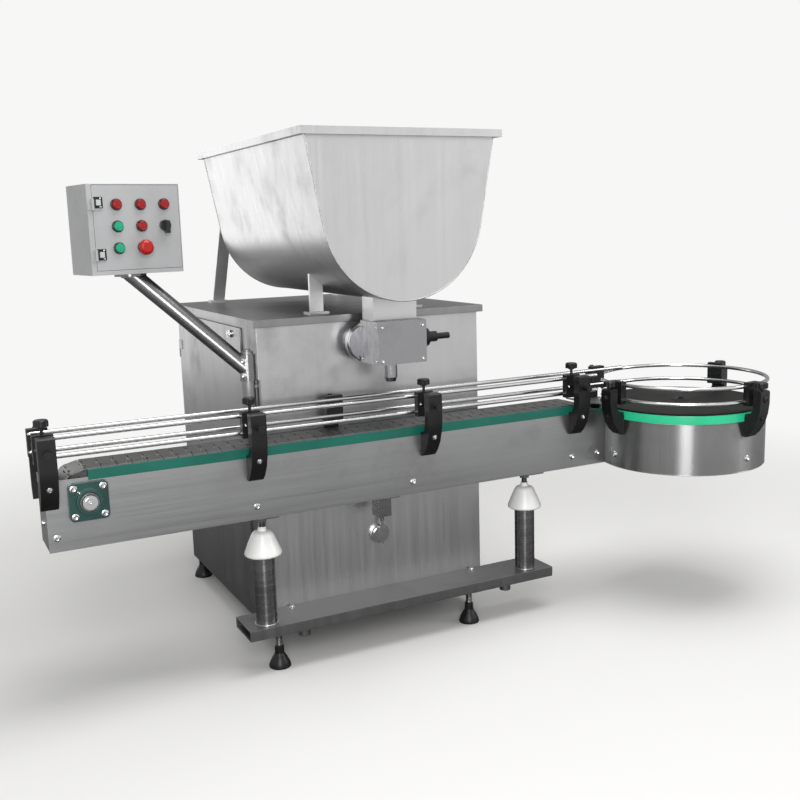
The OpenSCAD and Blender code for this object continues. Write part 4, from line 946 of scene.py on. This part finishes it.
# Turntable: ring ends, bracket screws, disc centre, drum hem
slant = {"out": 0.955, "down": -0.298}  # the way that the sloping feet of brackets look
tableLook = {
    "x": 1928.0, "y": -73.0, "radius": 256.0, "ringEnds": ((158.0, -1), (486.0, 1)),
    "ringHeights": (672.0, 718.0), "ringRod": 6,
    "brackets": (182.0, 277.0, 382.0), "bracketOut": 310.0, "bracketZ": 682, "bracketScrew": (7, 5),
    "clipIn": 4, "clipHalf": 15, "clipZ": 695, "clipScrew": (3.2, 2.6),
    "footOut": 45.2, "footZ": 624, "footScrew": (5, 4),
    "discTop": 643.5, "centreCap": [(0, 0), (30, 0), (29, 1.6), (25, 2.6), (0, 2.6)], "centreScrew": (8, 5),
    "hems": ((458.6, 255.3), (611.2, 255.6)), "hemBar": 1.3, "hemSteps": 160,
}


def onTable(radius, angle, z):
    turn = math.radians(angle)
    return at(tableLook["x"] + radius * math.cos(turn), tableLook["y"] + radius * math.sin(turn), z)


def buildRingEnds(bm):
    for angle, way in tableLook["ringEnds"]:
        turn = math.radians(angle)
        along = (-way * math.sin(turn), way * math.cos(turn), 0)
        for z in tableLook["ringHeights"]:
            roundEnd(bm, onTable(tableLook["radius"], angle, z), along, mm(tableLook["ringRod"]))


def buildRingScrews(bm):
    radius = tableLook["radius"]
    for angle in tableLook["brackets"]:
        turn = math.radians(angle)
        out = Vector((math.cos(turn), math.sin(turn), 0))
        back = onTable(tableLook["bracketOut"], angle, tableLook["bracketZ"])
        screwOn(bm, back, out, tableLook["bracketScrew"])
        for side in (-1, 1):
            across = Vector((-math.sin(turn), math.cos(turn), 0)) * mm(tableLook["clipHalf"]) * side
            clip = onTable(radius - tableLook["clipIn"], angle, tableLook["clipZ"]) + across
            screwOn(bm, clip, -out, tableLook["clipScrew"], False)
        sloping = Vector((out.x * slant["out"], out.y * slant["out"], slant["down"]))
        foot = onTable(radius + tableLook["footOut"], angle, tableLook["footZ"])
        screwOn(bm, foot, sloping, tableLook["footScrew"])


def buildDiscCentre(bm):
    centre = at(tableLook["x"], tableLook["y"], tableLook["discTop"])
    cap = inMetres(tableLook["centreCap"])
    turned(bm, cap, Matrix.Translation(centre), 40)
    screwOn(bm, centre + Vector((0, 0, cap[-1][1])), (0, 0, 1), tableLook["centreScrew"])


def buildDrumHem(bm):
    for z, radius in tableLook["hems"]:
        path = ringPath(at(tableLook["x"], tableLook["y"], z), radius, tableLook["hemSteps"])
        swept(bm, path, lambda index: mm(tableLook["hemBar"]), sides=8, closed=True)


piece("ringEnds", "machine", "brightTrim", buildRingEnds)
piece("ringScrews", "machine", "blackPlastic", buildRingScrews)
piece("discCentre", "table", "discPlastic", buildDiscCentre)
piece("drumHem", "machine", "drumSteel", buildDrumHem)

# Guide brackets and clips: screws
bracketLook = {
    "frontX": (8.0, 526.0, 1044.0, 1562.0), "frontY": -45.2, "frontZ": 624.0, "frontScrew": (5, 4),
    "rearX": (8.0, 805.0, 1733.7), "rearY": 140, "rearZ": 660, "rearScrew": (4, 1.2),
    "clipHalf": 17, "clipY": 4, "clipZ": 713, "clipScrew": (3.4, 2.4),
}


def buildBracketScrews(bm):
    for x in bracketLook["frontX"]:
        foot = at(x, bracketLook["frontY"], bracketLook["frontZ"])
        screwOn(bm, foot, (0, -slant["out"], slant["down"]), bracketLook["frontScrew"])
    for x in bracketLook["rearX"]:
        face = at(x, bracketLook["rearY"], bracketLook["rearZ"])
        screwOn(bm, face, (0, 1, 0), bracketLook["rearScrew"], False)


def buildClipScrews(bm):
    for x in bracketLook["frontX"]:
        for side in (-bracketLook["clipHalf"], bracketLook["clipHalf"]):
            face = at(x + side, bracketLook["clipY"], bracketLook["clipZ"])
            screwOn(bm, face, (0, -1, 0), bracketLook["clipScrew"], False)


piece("bracketScrews", "machine", "brightTrim", buildBracketScrews)
piece("clipScrews", "front_guides", "brightTrim", buildClipScrews)
print("stage: conveyor and turntable detailed")

# Valve block: round flange and corner bolts
valveLook = {
    "flangeAt": (902, 84, 892), "flange": [(0, 0), (50, 0), (51.5, 1.5), (51.5, 10.5), (50, 12), (0, 12)],
    "middleX": 960.0, "half": 75.0, "sideY": (-18, 74), "frontX": (898, 1022), "frontY": -28.0,
    "boltZ": (850.0, 943.0), "bolt": (3.8, 3),
}


def buildFlange(bm):
    turned(bm, inMetres(valveLook["flange"]), facing(at(*valveLook["flangeAt"]), (0, 1, 0)), 64)


piece("valveFlange", "machine", "polishedSteel", buildFlange)


def buildValveBolts(bm):
    for z in valveLook["boltZ"]:
        for y in valveLook["sideY"]:
            for way in (1, -1):
                corner = at(valveLook["middleX"] + way * valveLook["half"], y, z)
                screwOn(bm, corner, (way, 0, 0), valveLook["bolt"], False)
        for x in valveLook["frontX"]:
            screwOn(bm, at(x, valveLook["frontY"], z), (0, -1, 0), valveLook["bolt"], False)


piece("valveBolts", "machine", "brightTrim", buildValveBolts)

# Swing arm: seam at its tip, clamp screws at its pivot
armLook = {
    "tip": (291.6, 236.1, 1111.0), "seamDown": 10.6, "seam": 23.2,
    "pivot": (571.0, 148.0), "screwBack": 16.2633, "screwZ": (824, 864), "screw": (5, 5),
}


def buildArmSeams(bm):
    ring = at(*armLook["tip"]) - Vector((0, 0, mm(armLook["seamDown"])))
    weld(bm, ringPath(ring, armLook["seam"]), closed=True, size=0.8)


def buildArmScrews(bm):
    x, y = (place - armLook["screwBack"] for place in armLook["pivot"])
    for z in armLook["screwZ"]:
        screwOn(bm, at(x, y, z), (-1, -1, 0), armLook["screw"])


piece("armSeams", "arm", "weldSteel", buildArmSeams, smoothAngle=60)
piece("armScrews", "arm", "brightTrim", buildArmScrews)

# Control box: lenses of the push buttons, in the box's own frame
boxLook = {
    "origin": (192.61, 146.56), "turn": 10.0, "lensOut": 10.8, "lamps": {"red": 4, "green": 2},
    "lens": [(0, 0), (10.7, 0), (10.4, 0.9), (9.4, 1.25), (8.9, 0.8), (6.5, 1.25), (3.4, 1.5), (0, 1.6)],
}
boxTurn = math.radians(boxLook["turn"])
boxOut = Vector((math.sin(boxTurn), -math.cos(boxTurn), 0))


# A point by its place on the door: u to the right, v to the back
def onBox(u, v, z):
    x, y = boxLook["origin"]
    cosine, sine = math.cos(boxTurn), math.sin(boxTurn)
    return at(x + u * cosine - v * sine, y + u * sine + v * cosine, z)


def buildLens(nodeName):
    low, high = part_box(nodeName)
    centre = (low + high) / 2

    def build(bm):
        face = centre + boxOut * ((centre - onBox(0, 0, 0)).dot(-boxOut) + mm(boxLook["lensOut"]))
        face.z = centre.z
        turned(bm, inMetres(boxLook["lens"]), facing(face, boxOut), 36)

    return build


for colour, count in boxLook["lamps"].items():
    for number in range(1, count + 1):
        nodeName = f"{colour}_button_{number}"
        build = buildLens(nodeName)
        piece(nodeName + "_lens", bodyOf[nodeName], colour + "Lens", build)

# Hinges of the box door: a black leaf with a bright block and its screws
leafLook = {
    "left": 3.0, "right": 25.0, "rows": (1292.0, 1163.0), "half": 14.0, "thick": 3.4,
    "blockLeft": 7, "blockRight": 19, "blockHalf": 7, "blockThick": 4, "screwUp": 10.4, "screw": (2.2, 1.2),
}


# A block in the box's own frame, from inner to outer distance before the door
def boxBlock(bm, left, right, low, high, inner, outer):
    corners = []
    for u in (left, right):
        for z in (low, high):
            for v in (-inner, -outer):
                corners.append(bm.verts.new(onBox(u, v, z)))
    for side in ((0, 1, 3, 2), (4, 6, 7, 5), (0, 4, 5, 1), (2, 3, 7, 6), (0, 2, 6, 4), (1, 5, 7, 3)):
        bm.faces.new([corners[index] for index in side])


def buildLeaves(bm):
    half = leafLook["half"]
    for z in leafLook["rows"]:
        boxBlock(bm, leafLook["left"], leafLook["right"], z - half, z + half, 0, leafLook["thick"])


def buildLeafBlocks(bm):
    left, right, half = leafLook["blockLeft"], leafLook["blockRight"], leafLook["blockHalf"]
    thick = leafLook["thick"]
    for z in leafLook["rows"]:
        boxBlock(bm, left, right, z - half, z + half, thick, thick + leafLook["blockThick"])
        for up in (-leafLook["screwUp"], leafLook["screwUp"]):
            screwOn(bm, onBox(right, -thick, z + up), boxOut, leafLook["screw"], False)


piece("boxHingeLeaves", "box_door", "blackPlastic", buildLeaves)
piece("boxHingeBlocks", "box_door", "brightTrim", buildLeafBlocks)
print("stage: valve, arm and box detailed")

# Gearmotor: fan cover with its grille, terminal box, cable gland, flange bolts
motorLook = {
    "y": 190.0, "z": 536.0, "coverX": 340.0, "shadowX": 369.8,
    "cover": [(50.4, 0), (51.6, 0), (51.6, 25), (49, 29.6), (46, 30.8), (44, 30.8), (44, 29.8), (47, 28.6),
              (50.4, 24)],
    "grille": (10, 18, 26, 34, 42), "grilleWide": 3, "grilleZ": (30, 31.2),
    "spokeZ": 30.6, "spokeEnds": (6, 48), "spoke": 1.1,
    "shadow": [(0, 0), (44.6, 0), (44.6, 0.5), (0, 0.5)],
    "box": ((228, 160, 578), (302, 220, 604)), "boxLid": ((226, 158, 604.6), (304, 222, 613)), "boxSoft": 3,
    "lidX": (233, 297), "lidY": (165, 215), "lidZ": 613, "lidScrew": (2.6, 1.8),
    "glandAt": (302, 190, 591),
    "gland": [(0, 0), (11, 0), (11, 5), (9, 5), (9, 8), (10, 8), (10, 17), (7, 21), (4.5, 22), (0, 22)],
    "boltX": 162, "boltOut": 47, "bolt": (4.4, 4),
}
quarters = [math.radians(45 + 90 * turn) for turn in range(4)]


def buildFanCover(bm):
    base = at(motorLook["coverX"], motorLook["y"], motorLook["z"])
    turned(bm, inMetres(motorLook["cover"], loop=True), facing(base, (1, 0, 0)), 48)
    low, high = motorLook["grilleZ"]
    for inner in motorLook["grille"]:
        outer = inner + motorLook["grilleWide"]
        ring = inMetres([(inner, low), (outer, low), (outer, high), (inner, high)], loop=True)
        turned(bm, ring, facing(base, (1, 0, 0)), 40)
    hub = base + Vector((mm(motorLook["spokeZ"]), 0, 0))
    for angle in quarters:
        out = Vector((0, math.cos(angle), math.sin(angle)))
        ends = [hub + out * mm(reach) for reach in motorLook["spokeEnds"]]
        swept(bm, ends, lambda index: mm(motorLook["spoke"]), sides=6)


def buildFanShadow(bm):
    base = at(motorLook["shadowX"], motorLook["y"], motorLook["z"])
    turned(bm, inMetres(motorLook["shadow"]), facing(base, (1, 0, 0)), 40)


def buildTerminalBox(bm):
    for low, high in (motorLook["box"], motorLook["boxLid"]):
        plate(bm, at(*low), at(*high), mm(motorLook["boxSoft"]))
    for x in motorLook["lidX"]:
        for y in motorLook["lidY"]:
            screwOn(bm, at(x, y, motorLook["lidZ"]), (0, 0, 1), motorLook["lidScrew"], False)


def buildGland(bm):
    turned(bm, inMetres(motorLook["gland"]), facing(at(*motorLook["glandAt"]), (1, 0, 0)), 28, hexAt=(1, 2))


def buildMotorBolts(bm):
    reach = motorLook["boltOut"]
    for angle in quarters:
        y, z = motorLook["y"] + reach * math.cos(angle), motorLook["z"] + reach * math.sin(angle)
        screwOn(bm, at(motorLook["boltX"], y, z), (1, 0, 0), motorLook["bolt"])


piece("fanCover", "machine", "motorPaint", buildFanCover)
piece("fanShadow", "machine", "blackPlastic", buildFanShadow)
piece("terminalBox", "machine", "motorPaint", buildTerminalBox)
piece("cableGland", "machine", "blackPlastic", buildGland)
piece("motorBolts", "machine", "brightTrim", buildMotorBolts)

# Air cylinder: tie rods
airLook = {"x": 902, "z": 892, "reach": 36.0, "front": 466.0, "rear": 638.0, "rod": 4.0}


def buildTieRods(bm):
    rod, length = airLook["rod"], airLook["rear"] - airLook["front"]
    profile = inMetres([(0, 0), (rod, 0), (rod, length), (0, length)])
    for dx in (-airLook["reach"], airLook["reach"]):
        for dz in (-airLook["reach"], airLook["reach"]):
            foot = at(airLook["x"] + dx, airLook["front"], airLook["z"] + dz)
            turned(bm, profile, facing(foot, (0, 1, 0)), 20)


piece("tieRods", "machine", "polishedSteel", buildTieRods)
print("stage: drives detailed")

# Floor: seen light by the camera and dark by every other ray, so the steel mirrors it dark and the lower
# parts get painted shade from its dim bounce light; it fades out with distance
roomLook = {
    "floor": (0.72, 0.715, 0.70), "floorMirrored": (0.10, 0.10, 0.10), "floorReach": 30,
    "fade": (1.3, 3.6), "skyLight": 0.46, "skyCamera": (0.93, 0.93, 0.925),
    "skyFront": 1.05, "skyRear": 0.38, "dimSide": (0.5, 0.85, 0.0), "dimBetween": (-0.5, 0.9),
}
reach = roomLook["floorReach"]
floorMesh = bpy.data.meshes.new("floorMesh")
floorCorners = [(-reach, -reach, 0), (reach, -reach, 0), (reach, reach, 0), (-reach, reach, 0)]
floorMesh.from_pydata(floorCorners, [], [(0, 1, 2, 3)])
floorObject = bpy.data.objects.new("studioFloor", floorMesh)
bpy.context.scene.collection.objects.link(floorObject)
floorMaterial = bpy.data.materials.new("studioFloorSurface")
floorMaterial.use_nodes = True
floorTree = floorMaterial.node_tree
floorSeen = addNode(floorTree, "LightPath").outputs["Is Camera Ray"]
floorPlace = addNode(floorTree, "NewGeometry").outputs["Position"]
floorAway = addNode(floorTree, "VectorMath", {"operation": "LENGTH"}, {0: floorPlace}).outputs["Value"]
near, far = roomLook["fade"]
feed(floorTree, floorTree.nodes["Principled BSDF"], {
    "Base Color": mixColour(floorTree, floorSeen, roomLook["floorMirrored"], roomLook["floor"]),
    "Alpha": spread(floorTree, floorAway, 1.0, 0.0, near, far, "SMOOTHSTEP"),
}, {"Roughness": 0.7, "Specular IOR Level": 0.15})
floorMesh.materials.append(floorMaterial)

# Surroundings: the steel mirrors them bright before the machine and dim behind it
world = bpy.data.worlds.new("studioWorld")
bpy.context.scene.world = world
world.use_nodes = True
worldTree = world.node_tree
worldTree.nodes.clear()
worldOut = addNode(worldTree, "OutputWorld")
lightPath = addNode(worldTree, "LightPath").outputs
towards = dotOf(worldTree, addNode(worldTree, "TexCoord").outputs["Generated"], roomLook["dimSide"])
front, rear = roomLook["skyFront"], roomLook["skyRear"]
mirrored = spread(worldTree, towards, front, rear, *roomLook["dimBetween"], "SMOOTHSTEP")


def skyOf(colour, strength):
    return addNode(worldTree, "Background", None, {"Color": (*colour, 1), "Strength": strength}).outputs[0]


def mixSky(amount, first, second):
    return addNode(worldTree, "MixShader", None, {0: amount, 1: first, 2: second}).outputs[0]


lit = skyOf((1, 1, 1), roomLook["skyLight"])
glossy = mixSky(lightPath["Is Glossy Ray"], lit, skyOf(roomLook["skyCamera"], mirrored))
shown = mixSky(lightPath["Is Camera Ray"], glossy, skyOf(roomLook["skyCamera"], 1.0))
worldTree.links.new(shown, worldOut.inputs["Surface"])

# Lamps
lampLevels = {
    "keySoftbox": {"place": (-1.9, -4.2, 1.9), "aim": (0.1, 0, 0.7), "size": (1.3, 3.0), "watts": 120},
    "topSoftbox": {"place": (0.3, -0.8, 4.2), "aim": (0.1, 0, 0.5), "size": (3.0, 2.0), "watts": 110},
    "rightFill": {"place": (3.8, -2.6, 2.4), "aim": (0.2, 0, 0.8), "size": (1.2, 2.0), "watts": 50},
    "rearFill": {"place": (-1.7, 3.9, 1.3), "aim": (-0.3, 0, 1.1), "size": (1.8, 2.2), "watts": 18},
}
for lampName, level in lampLevels.items():
    lampData = bpy.data.lights.new(lampName, "AREA")
    lampData.shape = "RECTANGLE"
    lampData.size, lampData.size_y = level["size"]
    lampData.energy = level["watts"]
    lamp = bpy.data.objects.new(lampName, lampData)
    lamp.location = level["place"]
    aim = Vector(level["aim"]) - Vector(level["place"])
    lamp.rotation_euler = aim.to_track_quat("-Z", "Y").to_euler()
    lamp.visible_camera = False
    bpy.context.scene.collection.objects.link(lamp)

# Camera: focal length and width in pixels, place in millimetres
cameraLook = {
    "focal": 990.0, "width": 800, "sensor": 36.0, "place": (-276.5, -2435.0, 1214.0),
    "yaw": 26.934, "pitch": 9.982, "roll": -1.638,
}
cameraData = bpy.data.cameras.new("photoCamera")
cameraData.sensor_width = cameraLook["sensor"]
cameraData.lens = cameraLook["focal"] * cameraLook["sensor"] / cameraLook["width"]
camera = bpy.data.objects.new("photoCamera", cameraData)
camera.matrix_world = (
    Matrix.Translation(at(*cameraLook["place"])) @ Matrix.Rotation(-math.radians(cameraLook["yaw"]), 4, "Z")
    @ Matrix.Rotation(math.radians(90 - cameraLook["pitch"]), 4, "X")
    @ Matrix.Rotation(math.radians(cameraLook["roll"]), 4, "Z")
)
bpy.context.scene.collection.objects.link(camera)
bpy.context.scene.camera = camera
bpy.context.scene.view_settings.view_transform = "Standard"

print("stage: studio ready")
